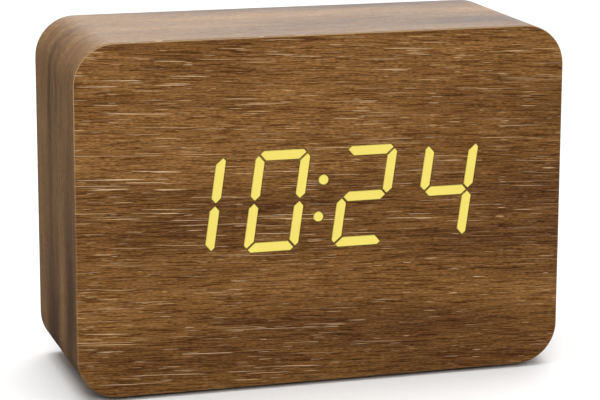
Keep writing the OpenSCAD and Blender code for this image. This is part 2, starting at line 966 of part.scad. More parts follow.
// The slack flat cable between the boards
module ribbon_cable() {
    steps = 24;
    y0 = y_main + plug_h;
    y1 = y_control_front - plug_h;
    path = [
        for (i = [0 : steps])
            let (u = i / steps)
            [y0 + u * (y1 - y0), ribbon_z - ribbon_sag * pow(sin(180 * u), 2)]
    ];
    upper = [for (p = path) [p[0], p[1] + ribbon_t / 2]];
    lower = [for (i = [steps : -1 : 0]) [path[i][0], path[i][1] - ribbon_t / 2]];
    color("lightgray")
        translate([ribbon_x - ribbon_w / 2, 0, 0])
            rotate([90, 0, 90])
                linear_extrude(height = ribbon_w)
                    polygon(concat(upper, lower));
}

// The ribbon's plugs on the two boards
module ribbon_connectors() {
    color("ivory")
        for (y = [y_main, y_control_front - plug_h])
            slab(y, y + plug_h)
                translate([ribbon_x, ribbon_z])
                    square([plug_w, plug_l], center = true);
}

// The power inlet's body: a round nose in the cover, a square body behind it
module power_jack() {
    color([0.07, 0.07, 0.075])
        difference() {
            union() {
                bar_y(jack_x, jack_z, nose_d / 2, y_inner, y_cover);
                slab(y_jack, y_inner)
                    translate([jack_x, jack_z])
                        square([jack_w, jack_w], center = true);
            }
            bar_y(jack_x, jack_z, jack_bore_d / 2, y_bore, y_cover + over);
        }
}

// The inlet's centre pin
module jack_pin() {
    color("silver")
        bar_y(jack_x, jack_z, jack_pin_d / 2, y_bore, y_cover - jack_pin_back);
}

// The inlet's solder tags
module jack_terminals() {
    color("silver")
        for (s = [-1, 1])
            block(
                [jack_x + s * terminal_x - terminal_w / 2, y_jack - terminal_l, jack_z - terminal_t / 2],
                [jack_x + s * terminal_x + terminal_w / 2, y_jack, jack_z + terminal_t / 2]);
}

// The leads from the inlet's tags up to the control board
module jack_leads() {
    color("firebrick")
        for (s = [-1, 1]) {
            start = [jack_x + s * terminal_x, y_jack - terminal_l, jack_z];
            end = [jack_x + s * terminal_x + terminal_w, y_control_front, wing_low + boss_edge];
            route = lead_route(
                start, [0, -lead_slack, 0], end, [0, -2 * lead_slack, 0], 2 * lead_r);
            wire(route, lead_r, 6, [1, 0, 0]);
        }
}

// The moulded cover at the back
module back_cover() {
    color([0.09, 0.09, 0.095]) {
        difference() {
            union() {
                slab(y_inner, y_cover)
                    translate([0, z_mid])
                        rounded(rebate_w - 2 * cover_fit, rebate_h - 2 * cover_fit,
                            rebate_r - cover_fit);
                slab(y_well, y_cover)
                    translate([well_x, well_z])
                        square([well_w, well_h], center = true);
                slab(y_inner - collar_l, y_cover)
                    translate([jack_x, jack_z])
                        square([collar_w, collar_w], center = true);
                for (p = boss_spots)
                    bar_y(p[0], p[1], boss_d / 2, y_control, y_cover - over);
            }
            slab(y_floor, y_cover)
                translate([well_x, well_z])
                    square([well_in_w, well_in_h], center = true);
            slab(y_door - seat_gap, y_cover + over)
                door_outline(well_bottom, door_fit);
            bar_y(well_x, door_top + scoop_rise - scoop_r, scoop_r, y_door - seat_gap, y_cover + over);
            for (s = [-1, 1])
                tongue_notch(well_x + s * tongue_span / 2);
            for (x = button_x)
                bar_y(x, key_z, button_d / 2 + control_fit, y_inner - over, y_cover + over);
            slab(y_inner - over, y_cover + over)
                translate([slider_x, key_z])
                    square([slot_l, knob_w + 2 * control_fit], center = true);
            sound_holes();
            bar_y(jack_x, jack_z, nose_d / 2 + hole_fit, y_inner - over, y_cover + over);
            slab(y_inner - collar_l - over, y_inner)
                translate([jack_x, jack_z])
                    square([jack_w + 2 * hole_fit, jack_w + 2 * hole_fit], center = true);
            for (p = screw_spots) {
                bar_y(p[0], p[1], cover_screw_d / 2 + hole_fit, y_inner - over, y_cover + over);
                bar_y(p[0], p[1], cover_screw_d * head_ratio / 2 + control_fit,
                    y_cover - head_sink, y_cover + over);
            }
            for (p = boss_spots)
                bar_y(p[0], p[1], board_screw_d / 2 + hole_fit,
                    y_control - over, y_control + screw_bite + hole_fit);
            tail_slot(plate_left + plate_t / 2, lane_z(0));
            tail_slot(plate_right - plate_t / 2, lane_z(cell_count - 1));
        }
        cell_cradles();
    }
}

// Height of the middle of a cell, counted from the lowest
function lane_z(i) = well_z + (i - (cell_count - 1) / 2) * lane;

// Room in the well's lower wall for a door tongue to swing
module tongue_notch(x) {
    half = tongue_w / 2 + tongue_gap;
    block([x - half, y_inner - 2 * tongue_t - tongue_reach, well_bottom - over],
        [x + half, y_inner, well_bottom + well_wall + over]);
    block([x - half, y_inner - over, well_bottom],
        [x + half, y_cover, well_bottom + well_wall + over]);
}

// Slot in the well's floor for a contact's solder tail
module tail_slot(x, z) {
    half_x = plate_t / 2 + hole_fit;
    half_z = tail_w / 2 + hole_fit;
    block([x - half_x, y_well - over, z - half_z], [x + half_x, y_floor + over, z + half_z]);
}

// A ring of sound holes round a middle one
module sound_holes() {
    bar_y(wing_x, buzzer_z, sound_hole_d / 2, y_inner - over, y_cover + over);
    for (i = [0 : sound_hole_count - 1]) {
        turn = 360 * i / sound_hole_count;
        bar_y(wing_x + sound_ring_r * cos(turn), buzzer_z + sound_ring_r * sin(turn),
            sound_hole_d / 2, y_inner - over, y_cover + over);
    }
}

// Ribs on the well's floor, scooped to carry the cells
module cell_cradles() {
    for (s = [-1, 1])
        difference() {
            block(
                [well_x + s * cell_l / 4 - cradle_t / 2, y_floor - well_wall / 2,
                    well_z - well_in_h / 2 - well_wall / 2],
                [well_x + s * cell_l / 4 + cradle_t / 2, y_floor + cradle_h,
                    well_z + well_in_h / 2 + well_wall / 2]);
            for (i = [0 : cell_count - 1])
                bar_x(cell_y, lane_z(i), cell_d / 2 + cell_fit / 2,
                    well_x - well_w / 2, well_x + well_w / 2);
        }
}

// The four screws in the cover's corners
module cover_screws() {
    color("dimgray")
        for (p = screw_spots)
            pan_screw(p[0], p[1], y_cover - head_sink, cover_screw_d,
                cover_screw_l - head_sink, -1);
}

// A flat contact over a run of lanes, standing against one end wall
module contact_plate(x, first, last) {
    block([x, cell_y - plate_h / 2, lane_z(first) - plate_h / 2],
        [x + plate_t, cell_y + plate_h / 2, lane_z(last) + plate_h / 2]);
}

// A plate's solder tail through the well's floor
module contact_tail(x, z) {
    block([x, y_well - tail_l, z - tail_w / 2], [x + plate_t, cell_y, z + tail_w / 2]);
}

// The plates at the ends of the cells, which join them in series
module contact_plates() {
    left = plate_left;
    right = plate_right - plate_t;
    color("silver") {
        contact_plate(left, 0, 0);
        contact_tail(left, lane_z(0));
        contact_plate(left, 1, 2);
        contact_plate(right, 0, 1);
        contact_plate(right, 2, 2);
        contact_tail(right, lane_z(2));
    }
}

// Route of a contact spring's wire from its plate to its cell
function spring_path(x, way, z) =
    let (
        rings = 8 * spring_turns,
        run = spring_l - spring_wire
    )
    [
        for (i = [0 : rings])
            let (
                u = i / rings,
                r = spring_base_r + u * (spring_tip_r - spring_base_r),
                turn = 360 * spring_turns * u
            )
            [x + way * (spring_wire / 2 + u * run), cell_y + r * cos(turn), z + r * sin(turn)]
    ];

// Least clear gap between the curls of a wire that are half a curl or more apart
function least_gap(path, wire_d) =
    min([
        for (i = [0 : len(path) - 1], j = [i + 5 : len(path) - 1])
            if (j < len(path))
                norm(path[i] - path[j])
    ]) - wire_d;

// The springs at the negative ends
module contact_springs() {
    left = plate_left + plate_t;
    right = plate_right - plate_t;
    echo(spring_gap = least_gap(spring_path(left, 1, 0), spring_wire));
    color("silver") {
        wire(spring_path(left, 1, lane_z(0)), spring_wire / 2, 6, [1, 0, 0]);
        wire(spring_path(right, -1, lane_z(1)), spring_wire / 2, 6, [1, 0, 0]);
        wire(spring_path(left, 1, lane_z(2)), spring_wire / 2, 6, [1, 0, 0]);
    }
}

// The leads from the outer contacts to the control board
module battery_leads() {
    y0 = y_well - tail_l;
    z1 = strip_low + strip_h / 4;
    low = [plate_left + plate_t / 2, y0, lane_z(0)];
    low_end = [strip_left + 2 * boss_edge, y_control_front, z1];
    high = [plate_right - plate_t / 2, y0, lane_z(2)];
    high_end = [plate_right - plate_t / 2, y_control_front, z1];
    low_route = lead_route(
        low, [0, -lead_slack, 0], low_end, [0, -3 * lead_slack, 0], 2 * lead_r);
    high_route = lead_route(
        high, [0, -lead_slack, 0], high_end, [0, -lead_slack, 0], 2 * lead_r);
    color("firebrick") {
        wire(low_route, lead_r, 6, [1, 0, 0]);
        wire(high_route, lead_r, 6, [1, 0, 0]);
    }
}

// A cell with its cap pointing along way
module cell(i, way) {
    x = way > 0 ? plate_right - plate_t - seat_gap : plate_left + plate_t + seat_gap;
    r = cell_d / 2;
    edge = 0.4;
    body = cell_l - nub_h;
    profile = [
        [0, 0], [r - edge, 0], [r, edge], [r, body - edge], [r - edge, body],
        [nub_d / 2, body], [nub_d / 2, cell_l], [0, cell_l]
    ];
    translate([x, cell_y, lane_z(i)])
        rotate([0, way * 90, 0])
            translate([0, 0, -cell_l])
                rotate_extrude()
                    polygon(profile);
}

module cell_low() {
    color("darkslategray")
        cell(0, 1);
}

module cell_mid() {
    color("darkslategray")
        cell(1, -1);
}

module cell_high() {
    color("darkslategray")
        cell(2, 1);
}

// The battery door: rolled lower edge with tongues, latch finger at the top
module battery_door() {
    finger_low = door_top - latch_slit_l;
    color([0.1, 0.1, 0.105])
        difference() {
            union() {
                slab(y_door, y_cover)
                    door_outline(hinge_z, 0);
                bar_x(hinge_y, hinge_z, door_t / 2, door_left, door_right);
                block([well_x - latch_w / 2 + slit_w, y_door, door_top - over],
                    [well_x + latch_w / 2 - slit_w, hinge_y, door_top + latch_nose]);
                for (s = [-1, 1])
                    door_tongue(well_x + s * tongue_span / 2);
                for (i = [1 : grip_count])
                    block(
                        [well_x - latch_w / 3, hinge_y, door_top - i * grip_pitch],
                        [well_x + latch_w / 3, y_cover + cover_recess / 3,
                            door_top - i * grip_pitch + grip_w]);
            }
            for (s = [-1, 1])
                block(
                    [well_x + s * (latch_w + slit_w) / 2 - slit_w / 2, y_door - over, finger_low],
                    [well_x + s * (latch_w + slit_w) / 2 + slit_w / 2, y_cover + over, door_top + over]);
        }
}

// The door's outline from a level up to its round upper corners, drawn out by a margin
module door_outline(low, grow) {
    r = door_r + grow;
    left = door_left - grow;
    right = door_right + grow;
    top = door_top + grow;
    translate([left, low])
        square([right - left, top - r - low]);
    translate([left + r, low])
        square([right - left - 2 * r, top - low]);
    for (x = [left + r, right - r])
        translate([x, top - r])
            circle(r = r);
}

// A tongue that reaches behind the cover, on its neck under the door
module door_tongue(x) {
    y1 = y_inner - tongue_gap;
    y0 = y1 - tongue_t;
    block([x - tongue_w / 2, y0, well_bottom - tongue_reach], [x + tongue_w / 2, y1, hinge_z + tongue_t]);
    block([x - tongue_w / 2, y0, hinge_z], [x + tongue_w / 2, hinge_y, hinge_z + tongue_t]);
}

// A round push button with a dished face and the flange that keeps it in
module button(x) {
    r = button_d / 2;
    top = cover_t + seat_gap + flange_t + button_out;
    edge = 0.3;
    dish_r = 3 * button_d;
    dish = 0.25;
    profile = [
        [0, 0], [r + flange_w, 0], [r + flange_w, flange_t], [r, flange_t],
        [r, top - edge], [r - edge, top], [0, top]
    ];
    translate([x, y_plunger, key_z])
        rotate([-90, 0, 0])
            difference() {
                rotate_extrude()
                    polygon(profile);
                translate([0, 0, top - dish + dish_r])
                    sphere(r = dish_r);
            }
}

// The key switch's plunger under a button
module plunger(x) {
    bar_y(x, key_z, plunger_d / 2, y_switch - bore_spare + control_fit, y_plunger);
}

module set_button() {
    color([0.13, 0.13, 0.14])
        button(button_x[0]);
}

module set_plunger() {
    color("white")
        plunger(button_x[0]);
}

module up_button() {
    color([0.13, 0.13, 0.14])
        button(button_x[1]);
}

module up_plunger() {
    color("white")
        plunger(button_x[1]);
}

module down_button() {
    color([0.13, 0.13, 0.14])
        button(button_x[2]);
}

module down_plunger() {
    color("white")
        plunger(button_x[2]);
}

// The alarm switch's knob in its slot, on the slide behind the cover
module alarm_slider() {
    ridge = 0.5;
    y_top = y_cover + button_out;
    color([0.13, 0.13, 0.14])
        difference() {
            union() {
                slab(y_key - slide_t, y_key)
                    translate([knob_x, key_z])
                        square([slide_l, slide_w], center = true);
                slab(y_key - slide_t, y_top)
                    translate([knob_x, key_z])
                        square([knob_l, knob_w], center = true);
            }
            for (i = [-1 : 1])
                block([knob_x + i * 2 * ridge - ridge / 2, y_top - ridge / 2, key_z - knob_w],
                    [knob_x + i * 2 * ridge + ridge / 2, y_top + over, key_z + knob_w]);
        }
}

// The alarm switch's lever under the slide
module alarm_lever() {
    color("white")
        slab(y_key - slide_t - lever_l, y_key - slide_t)
            translate([knob_x, key_z])
                square([lever_w, lever_w], center = true);
}

case_body();
wrap_veneer();
front_veneer();
lit_segments();
foot_pads();
display_housing();
segment_diffusers();
display_pins();
main_board();
board_spacers();
board_screws();
controller_chip();
quartz_crystal();
capacitors();
receiver_board();
receiver_chip();
ferrite_rod();
antenna_bobbin();
antenna_winding();
antenna_holders();
antenna_leads();
control_board();
control_screws();
tact_switches();
alarm_switch();
buzzer();
ribbon_cable();
ribbon_connectors();
power_jack();
jack_pin();
jack_terminals();
jack_leads();
back_cover();
cover_screws();
contact_plates();
contact_springs();
battery_leads();
cell_low();
cell_mid();
cell_high();
battery_door();
set_button();
set_plunger();
up_button();
up_plunger();
down_button();
down_plunger();
alarm_slider();
alarm_lever();
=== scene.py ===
"""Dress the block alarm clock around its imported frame: veneer, lit time, moulded back and works."""
import json
import logging
import math
from abc import ABC, abstractmethod
from dataclasses import dataclass, field
from enum import Enum
from typing import ClassVar

import bmesh
import bpy
from mathutils import Matrix, Vector


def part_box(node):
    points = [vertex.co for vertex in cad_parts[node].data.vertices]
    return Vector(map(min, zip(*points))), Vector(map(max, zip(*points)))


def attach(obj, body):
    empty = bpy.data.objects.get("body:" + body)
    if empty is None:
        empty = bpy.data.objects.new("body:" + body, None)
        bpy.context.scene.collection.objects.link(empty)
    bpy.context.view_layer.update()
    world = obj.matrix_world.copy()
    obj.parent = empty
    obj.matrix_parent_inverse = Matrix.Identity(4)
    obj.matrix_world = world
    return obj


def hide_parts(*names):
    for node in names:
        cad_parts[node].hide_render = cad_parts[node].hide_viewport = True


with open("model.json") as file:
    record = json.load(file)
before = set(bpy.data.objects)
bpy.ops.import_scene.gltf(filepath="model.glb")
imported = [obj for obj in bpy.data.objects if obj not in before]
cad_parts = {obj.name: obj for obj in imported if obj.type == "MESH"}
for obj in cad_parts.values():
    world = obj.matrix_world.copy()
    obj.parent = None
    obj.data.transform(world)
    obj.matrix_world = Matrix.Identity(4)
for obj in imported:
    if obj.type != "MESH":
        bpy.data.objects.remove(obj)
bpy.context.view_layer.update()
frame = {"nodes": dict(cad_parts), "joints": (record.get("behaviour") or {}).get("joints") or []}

MM = 0.001
NOISE_MIDDLE = 0.5
LOG = logging.getLogger("clock")

Triple = tuple[float, float, float]
Socket = bpy.types.NodeSocket
Sockets = dict[str, Socket]
Feed = Socket | float | tuple[float, ...]

WHITE: Triple = (1.0, 1.0, 1.0)


@dataclass(frozen=True)
class Pattern:
    """A soft random pattern over a surface.

    Attributes:
        pitch: how many changes it has to a metre, along each axis.
        seed: moves the pattern to another place.
        detail: how many finer layers it has.
        roughness: how strong those are.
        low: the value from which its mask rises.
        high: the value at which its mask is full.
    """

    pitch: Triple
    seed: float
    detail: float = 2.0
    roughness: float = 0.5
    low: float = 0.0
    high: float = 1.0


class Graph:
    """A node tree with short calls that add nodes and join them.

    Attributes:
        seed_ways: how far a seed moves a pattern along each axis.
        mix_takes: which inputs of a colour mix are its mask and its two colours.
        mix_gives: which output of a colour mix is the blend.
    """

    seed_ways: ClassVar[Triple] = (1.0, 1.7, -1.0)
    mix_takes: ClassVar[tuple[int, int, int]] = (0, 6, 7)
    mix_gives: ClassVar[int] = 2

    def __init__(self, tree: bpy.types.NodeTree) -> None:
        """Work on this tree."""
        self.tree = tree

    def add(self, kind: str, **settings: object) -> bpy.types.Node:
        """Add a shader node.

        Args:
            kind: the node's type without its common prefix.
            settings: properties to set on the node.

        Returns:
            The new node.
        """
        node = self.tree.nodes.new("ShaderNode" + kind)
        for key, value in settings.items():
            setattr(node, key, value)
        return node

    def feed(self, socket: Socket, value: Feed) -> None:
        """Bring a value to an input.

        Args:
            socket: the input.
            value: an output to link, or a plain number, colour or vector to set.
        """
        if isinstance(value, bpy.types.NodeSocket):
            self.tree.links.new(value, socket)
        elif socket.type == "RGBA":
            socket.default_value = (*value[:3], 1.0)
        else:
            socket.default_value = value

    def math(self, operation: str, *values: Feed) -> Socket:
        """Join values in one sum.

        Args:
            operation: the name of the sum.
            values: its terms, in order.

        Returns:
            The result.
        """
        node = self.add("Math", operation=operation)
        for socket, value in zip(node.inputs, values):
            self.feed(socket, value)
        return node.outputs[0]

    def times(self, first: Feed, second: Feed) -> Socket:
        """Multiply two values."""
        return self.math("MULTIPLY", first, second)

    def level(self, value: Feed, gain: Feed, base: Feed) -> Socket:
        """Multiply a value by a gain and add it to a base."""
        return self.math("MULTIPLY_ADD", value, gain, base)

    def vector(self, operation: str, first: Feed, second: Feed) -> Socket:
        """Join two vectors in one sum.

        Args:
            operation: the name of the sum.
            first: the first vector.
            second: the second vector.

        Returns:
            The resulting vector, or the number where the sum gives one.
        """
        node = self.add("VectorMath", operation=operation)
        self.feed(node.inputs[0], first)
        self.feed(node.inputs[1], second)
        return node.outputs["Value" if operation == "DOT_PRODUCT" else "Vector"]

    def tint(self, colour: Feed, strength: Feed) -> Socket:
        """Lighten or darken a colour.

        Args:
            colour: the colour.
            strength: what to multiply it by.

        Returns:
            The new colour.
        """
        node = self.add("VectorMath", operation="SCALE")
        self.feed(node.inputs[0], colour)
        self.feed(node.inputs["Scale"], strength)
        return node.outputs["Vector"]

    def shade(self, colour: Feed, mask: Feed, keep: Triple) -> Socket:
        """Darken a colour to a share of each of its channels where a mask is full."""
        return self.vector("MULTIPLY", colour, self.mix(mask, WHITE, keep))

    def split(self, vector: Feed) -> list[Socket]:
        """Take a vector apart.

        Args:
            vector: the vector.

        Returns:
            Its x, y and z.
        """
        node = self.add("SeparateXYZ")
        self.feed(node.inputs[0], vector)
        return list(node.outputs)

    def join(self, x: Feed, y: Feed, z: Feed) -> Socket:
        """Make a vector.

        Args:
            x: its x.
            y: its y.
            z: its z.

        Returns:
            The vector.
        """
        node = self.add("CombineXYZ")
        for socket, value in zip(node.inputs, (x, y, z)):
            self.feed(socket, value)
        return node.outputs[0]

    def noise(self, place: Feed, pattern: Pattern) -> Socket:
        """Add a soft random pattern.

        Args:
            place: where on the surface, in metres.
            pattern: its settings.

        Returns:
            Its value, about 0.5 on average.
        """
        spread = self.vector("MULTIPLY", place, pattern.pitch)
        apart = tuple(pattern.seed * way for way in self.seed_ways)
        node = self.add("TexNoise", noise_dimensions="3D")
        self.feed(node.inputs["Vector"], self.vector("ADD", spread, apart))
        for name, value in (("Scale", 1.0), ("Detail", pattern.detail), ("Roughness", pattern.roughness)):
            self.feed(node.inputs[name], value)
        return node.outputs[0]

    def between(self, value: Feed, low: float, high: float) -> Socket:
        """Turn a value into a soft mask.

        Args:
            value: the value.
            low: where the mask starts to rise from 0.
            high: where it reaches 1.

        Returns:
            The mask.
        """
        node = self.add("MapRange", interpolation_type="SMOOTHSTEP")
        for socket, given in zip(node.inputs, (value, low, high, 0.0, 1.0)):
            self.feed(socket, given)
        return node.outputs[0]

    def mask(self, place: Feed, pattern: Pattern) -> Socket:
        """Add a soft random pattern and turn it into its mask."""
        return self.between(self.noise(place, pattern), pattern.low, pattern.high)

    def mix(self, mask: Feed, first: Feed, second: Feed) -> Socket:
        """Blend two colours.

        Args:
            mask: 0 for the first, 1 for the second.
            first: the first colour.
            second: the second colour.

        Returns:
            The blend.
        """
        node = self.add("Mix", data_type="RGBA")
        for index, value in zip(self.mix_takes, (mask, first, second)):
            self.feed(node.inputs[index], value)
        return node.outputs[self.mix_gives]


class Kind(Enum):
    """Kinds of socket on a shared effect."""

    NUMBER = "NodeSocketFloat"
    COLOUR = "NodeSocketColor"
    VECTOR = "NodeSocketVector"


class Effect(ABC):
    """A look that several finishes share, kept as one shader node group.

    Attributes:
        title: the group's name.
        takes: its inputs and their kinds.
        gives: its outputs and their kinds.
    """

    title: ClassVar[str]
    takes: ClassVar[dict[str, Kind]]
    gives: ClassVar[dict[str, Kind]]

    @classmethod
    @abstractmethod
    def draw(cls, graph: Graph, given: Sockets) -> Sockets:
        """Lay out the effect's nodes.

        Args:
            graph: the group's tree.
            given: the group's inputs by name.

        Returns:
            The sockets to put out, by name.
        """

    @classmethod
    def tree(cls) -> bpy.types.ShaderNodeTree:
        """Get the effect's node group, built on first use.

        Returns:
            The group.
        """
        made = bpy.data.node_groups.get(cls.title)
        if made is not None:
            return made
        made = bpy.data.node_groups.new(cls.title, "ShaderNodeTree")
        for side, sockets in (("INPUT", cls.takes), ("OUTPUT", cls.gives)):
            for name, kind in sockets.items():
                made.interface.new_socket(name=name, in_out=side, socket_type=kind.value)
        entry = made.nodes.new("NodeGroupInput")
        leave = made.nodes.new("NodeGroupOutput")
        drawn = cls.draw(Graph(made), {name: entry.outputs[name] for name in cls.takes})
        for name, socket in drawn.items():
            made.links.new(socket, leave.inputs[name])
        return made

    @classmethod
    def use(cls, graph: Graph, values: dict[str, Feed]) -> Sockets:
        """Place the effect in a material.

        Args:
            graph: the material's tree.
            values: what to bring to its inputs, by name.

        Returns:
            Its outputs by name.
        """
        node = graph.add("Group", node_tree=cls.tree())
        for name, value in values.items():
            graph.feed(node.inputs[name], value)
        return {name: node.outputs[name] for name in cls.gives}


class VeneerGrain(Effect):
    """Walnut cut along the tree: broad bands, stripes, dark pores and pale flecks of fill.

    Attributes:
        bend: how the grain wanders, up to bend_reach to either side.
        bands: broad changes of tone, with band_share of it, while stripes have the rest.
        to_middle: the tones between which dark wood turns into middle wood.
        to_light: the tones between which middle wood turns into light wood.
        fibres: the finest change of tone, by fibre_depth on fibre_base.
        pores: short dark dashes, which keep pore_keeps of each channel.
        lines: long dark lines of a width by line_edge, cut up by breaks, which keep line_keeps.
        crowd: where long flecks lie close, moved by crowd_drift times the painted light falloff of the tone.
        short_strength: how strong short flecks are beside long ones.
        rough_base: how rough plain wood is, to which stripes and pores add.
        fibre_rise: how high fibres stand, while pores and flecks are sunk.
    """

    title = "veneer_grain"
    takes = {"Place": Kind.VECTOR, "Dark": Kind.COLOUR, "Middle": Kind.COLOUR, "Light": Kind.COLOUR,
             "Fleck": Kind.COLOUR, "Pores": Kind.NUMBER, "Flecks": Kind.NUMBER, "Drift": Kind.NUMBER}
    gives = {"Colour": Kind.COLOUR, "Roughness": Kind.NUMBER, "Height": Kind.NUMBER}

    bend = Pattern((26, 130, 26), 2.0, detail=1.0)
    bend_reach = 0.55 * MM
    bands = Pattern((16, 85, 16), 10.0, roughness=0.55)
    stripes = Pattern((60, 950, 60), 11.0, roughness=0.6)
    band_share = 0.74
    to_middle = (0.33, 0.53)
    to_light = (0.47, 0.69)
    fibres = Pattern((1000, 6400, 1000), 29.0, detail=1.0)
    fibre_depth = 2.3
    fibre_base = -0.1
    pores = Pattern((230, 6200, 230), 23.0, detail=0.0, low=0.575, high=0.645)
    pore_keeps = (0.46, 0.34, 0.15)
    lines = Pattern((52, 3200, 52), 67.0, detail=0.0)
    line_edge = (0.08, 0.025)
    breaks = Pattern((130, 2400, 130), 71.0, detail=1.0, low=0.38, high=0.56)
    line_keeps = (0.6, 0.5, 0.33)
    crowd = Pattern((18, 60, 18), 31.0, low=0.33, high=0.83)
    crowd_drift = 4.0
    long_flecks = Pattern((85, 6600, 85), 41.0, detail=0.0, low=0.755, high=0.775)
    short_flecks = Pattern((200, 6600, 200), 47.0, detail=0.0, low=0.785, high=0.805)
    short_strength = 0.7
    rough_base = 0.4
    rough_in_stripes = 0.16
    rough_in_pores = 0.18
    fibre_rise = 0.5
    pore_sink = -0.6
    fleck_sink = -0.4

    @classmethod
    def draw(cls, graph: Graph, given: Sockets) -> Sockets:
        """Lay out the grain, with the second axis of Place across it.

        Args:
            graph: the group's tree.
            given: the group's inputs by name.

        Returns:
            The wood's colour, roughness and height.
        """
        bend = graph.level(graph.noise(given["Place"], cls.bend), 2 * cls.bend_reach, -cls.bend_reach)
        place = graph.vector("ADD", given["Place"], graph.join(0.0, bend, 0.0))
        stripes = graph.noise(place, cls.stripes)
        tone = graph.level(graph.noise(place, cls.bands), cls.band_share,
                           graph.times(stripes, 1.0 - cls.band_share))
        # painted light: the tone is raised where the light falloff paints the face as more brightly lit
        tone = graph.math("ADD", tone, given["Drift"])
        wood = graph.mix(graph.between(tone, *cls.to_middle), given["Dark"], given["Middle"])
        wood = graph.mix(graph.between(tone, *cls.to_light), wood, given["Light"])
        fibres = graph.noise(place, cls.fibres)
        wood = graph.tint(wood, graph.level(fibres, cls.fibre_depth, cls.fibre_base))
        pores = graph.times(graph.mask(place, cls.pores), given["Pores"])
        wood = graph.shade(wood, pores, cls.pore_keeps)
        away = graph.math("ABSOLUTE", graph.math("SUBTRACT", graph.noise(place, cls.lines), NOISE_MIDDLE))
        lines = graph.times(graph.between(away, *cls.line_edge), graph.mask(place, cls.breaks))
        wood = graph.shade(wood, graph.times(lines, given["Pores"]), cls.line_keeps)
        flecks = cls.scatter(graph, place, given)
        wood = graph.mix(flecks, wood, given["Fleck"])
        rough = graph.level(stripes, cls.rough_in_stripes, cls.rough_base)
        rough = graph.level(pores, cls.rough_in_pores, rough)
        height = graph.level(pores, cls.pore_sink, graph.times(fibres, cls.fibre_rise))
        height = graph.level(flecks, cls.fleck_sink, height)
        return {"Colour": wood, "Roughness": rough, "Height": height}

    @classmethod
    def scatter(cls, graph: Graph, place: Socket, given: Sockets) -> Socket:
        """Scatter the flecks of fill: long ones in crowds, short ones all over.

        Args:
            graph: the group's tree.
            place: the place along the bent grain.
            given: the group's inputs by name.

        Returns:
            The mask of the flecks.
        """
        crowd = graph.level(given["Drift"], cls.crowd_drift, graph.noise(place, cls.crowd))
        crowd = graph.between(crowd, cls.crowd.low, cls.crowd.high)
        crowded = graph.times(graph.mask(place, cls.long_flecks), crowd)
        single = graph.times(graph.mask(place, cls.short_flecks), cls.short_strength)
        return graph.times(graph.math("MAXIMUM", crowded, single), given["Flecks"])


class EdgeWear(Effect):
    """A broken line along rubbed edges, and normals that round those edges off.

    Attributes:
        worn_and_highlit: which stretches of an edge are rubbed.
        turned: how far a rounded normal turns where the line starts and where it is full.
        samples: how often the rounding looks about for each point.
    """

    title = "edge_wear"
    takes = {"Place": Kind.VECTOR, "Radius": Kind.NUMBER}
    gives = {"Mask": Kind.NUMBER, "Line": Kind.NUMBER, "Normal": Kind.VECTOR}

    worn_and_highlit = Pattern((420, 420, 420), 5.0, detail=3.0, low=0.38, high=0.6)
    turned = (0.004, 0.12)
    samples = 6

    @classmethod
    def draw(cls, graph: Graph, given: Sockets) -> Sockets:
        """Compare the rounded normal with the flat one and break the line up.

        Args:
            graph: the group's tree.
            given: the group's inputs by name.

        Returns:
            The broken line, the whole line and the rounded normal.
        """
        rounded = graph.add("Bevel", samples=cls.samples)
        graph.feed(rounded.inputs["Radius"], given["Radius"])
        normal = rounded.outputs[0]
        flat = graph.add("NewGeometry").outputs["Normal"]
        away = graph.math("SUBTRACT", 1.0, graph.vector("DOT_PRODUCT", normal, flat))
        line = graph.between(away, *cls.turned)
        broken = graph.times(line, graph.mask(given["Place"], cls.worn_and_highlit))
        return {"Mask": broken, "Line": line, "Normal": normal}


class MouldedSkin(Effect):
    """Plastic from a spark-cut mould: fine pits, slow changes of tone and a little dust."""

    title = "moulded_skin"
    takes = {"Place": Kind.VECTOR, "Colour": Kind.COLOUR, "Dust": Kind.COLOUR, "Rough": Kind.NUMBER}
    gives = {"Colour": Kind.COLOUR, "Roughness": Kind.NUMBER, "Height": Kind.NUMBER}

    pits = Pattern((3600, 3600, 3600), 7.0, roughness=0.6)
    flow = Pattern((45, 45, 45), 13.0, detail=3.0, low=0.4, high=0.65)
    specks = Pattern((900, 900, 900), 19.0, low=0.6, high=0.75)
    tone_base = 0.5
    tone_in_pits = 0.5
    tone_in_flow = 0.5
    dustiness = 0.2
    rough_in_pits = 0.35

    @classmethod
    def draw(cls, graph: Graph, given: Sockets) -> Sockets:
        """Lay out the pits, the tone and the dust.

        Args:
            graph: the group's tree.
            given: the group's inputs by name.

        Returns:
            The skin's colour, roughness and height.
        """
        pits = graph.noise(given["Place"], cls.pits)
        flow = graph.noise(given["Place"], cls.flow)
        tone = graph.level(flow, cls.tone_in_flow, graph.level(pits, cls.tone_in_pits, cls.tone_base))
        clean = graph.tint(given["Colour"], tone)
        patches = graph.between(flow, cls.flow.low, cls.flow.high)
        dusty = graph.times(graph.mask(given["Place"], cls.specks), patches)
        colour = graph.mix(graph.times(dusty, cls.dustiness), clean, given["Dust"])
        rough = graph.level(graph.math("SUBTRACT", pits, NOISE_MIDDLE), cls.rough_in_pits, given["Rough"])
        return {"Colour": colour, "Roughness": rough, "Height": pits}


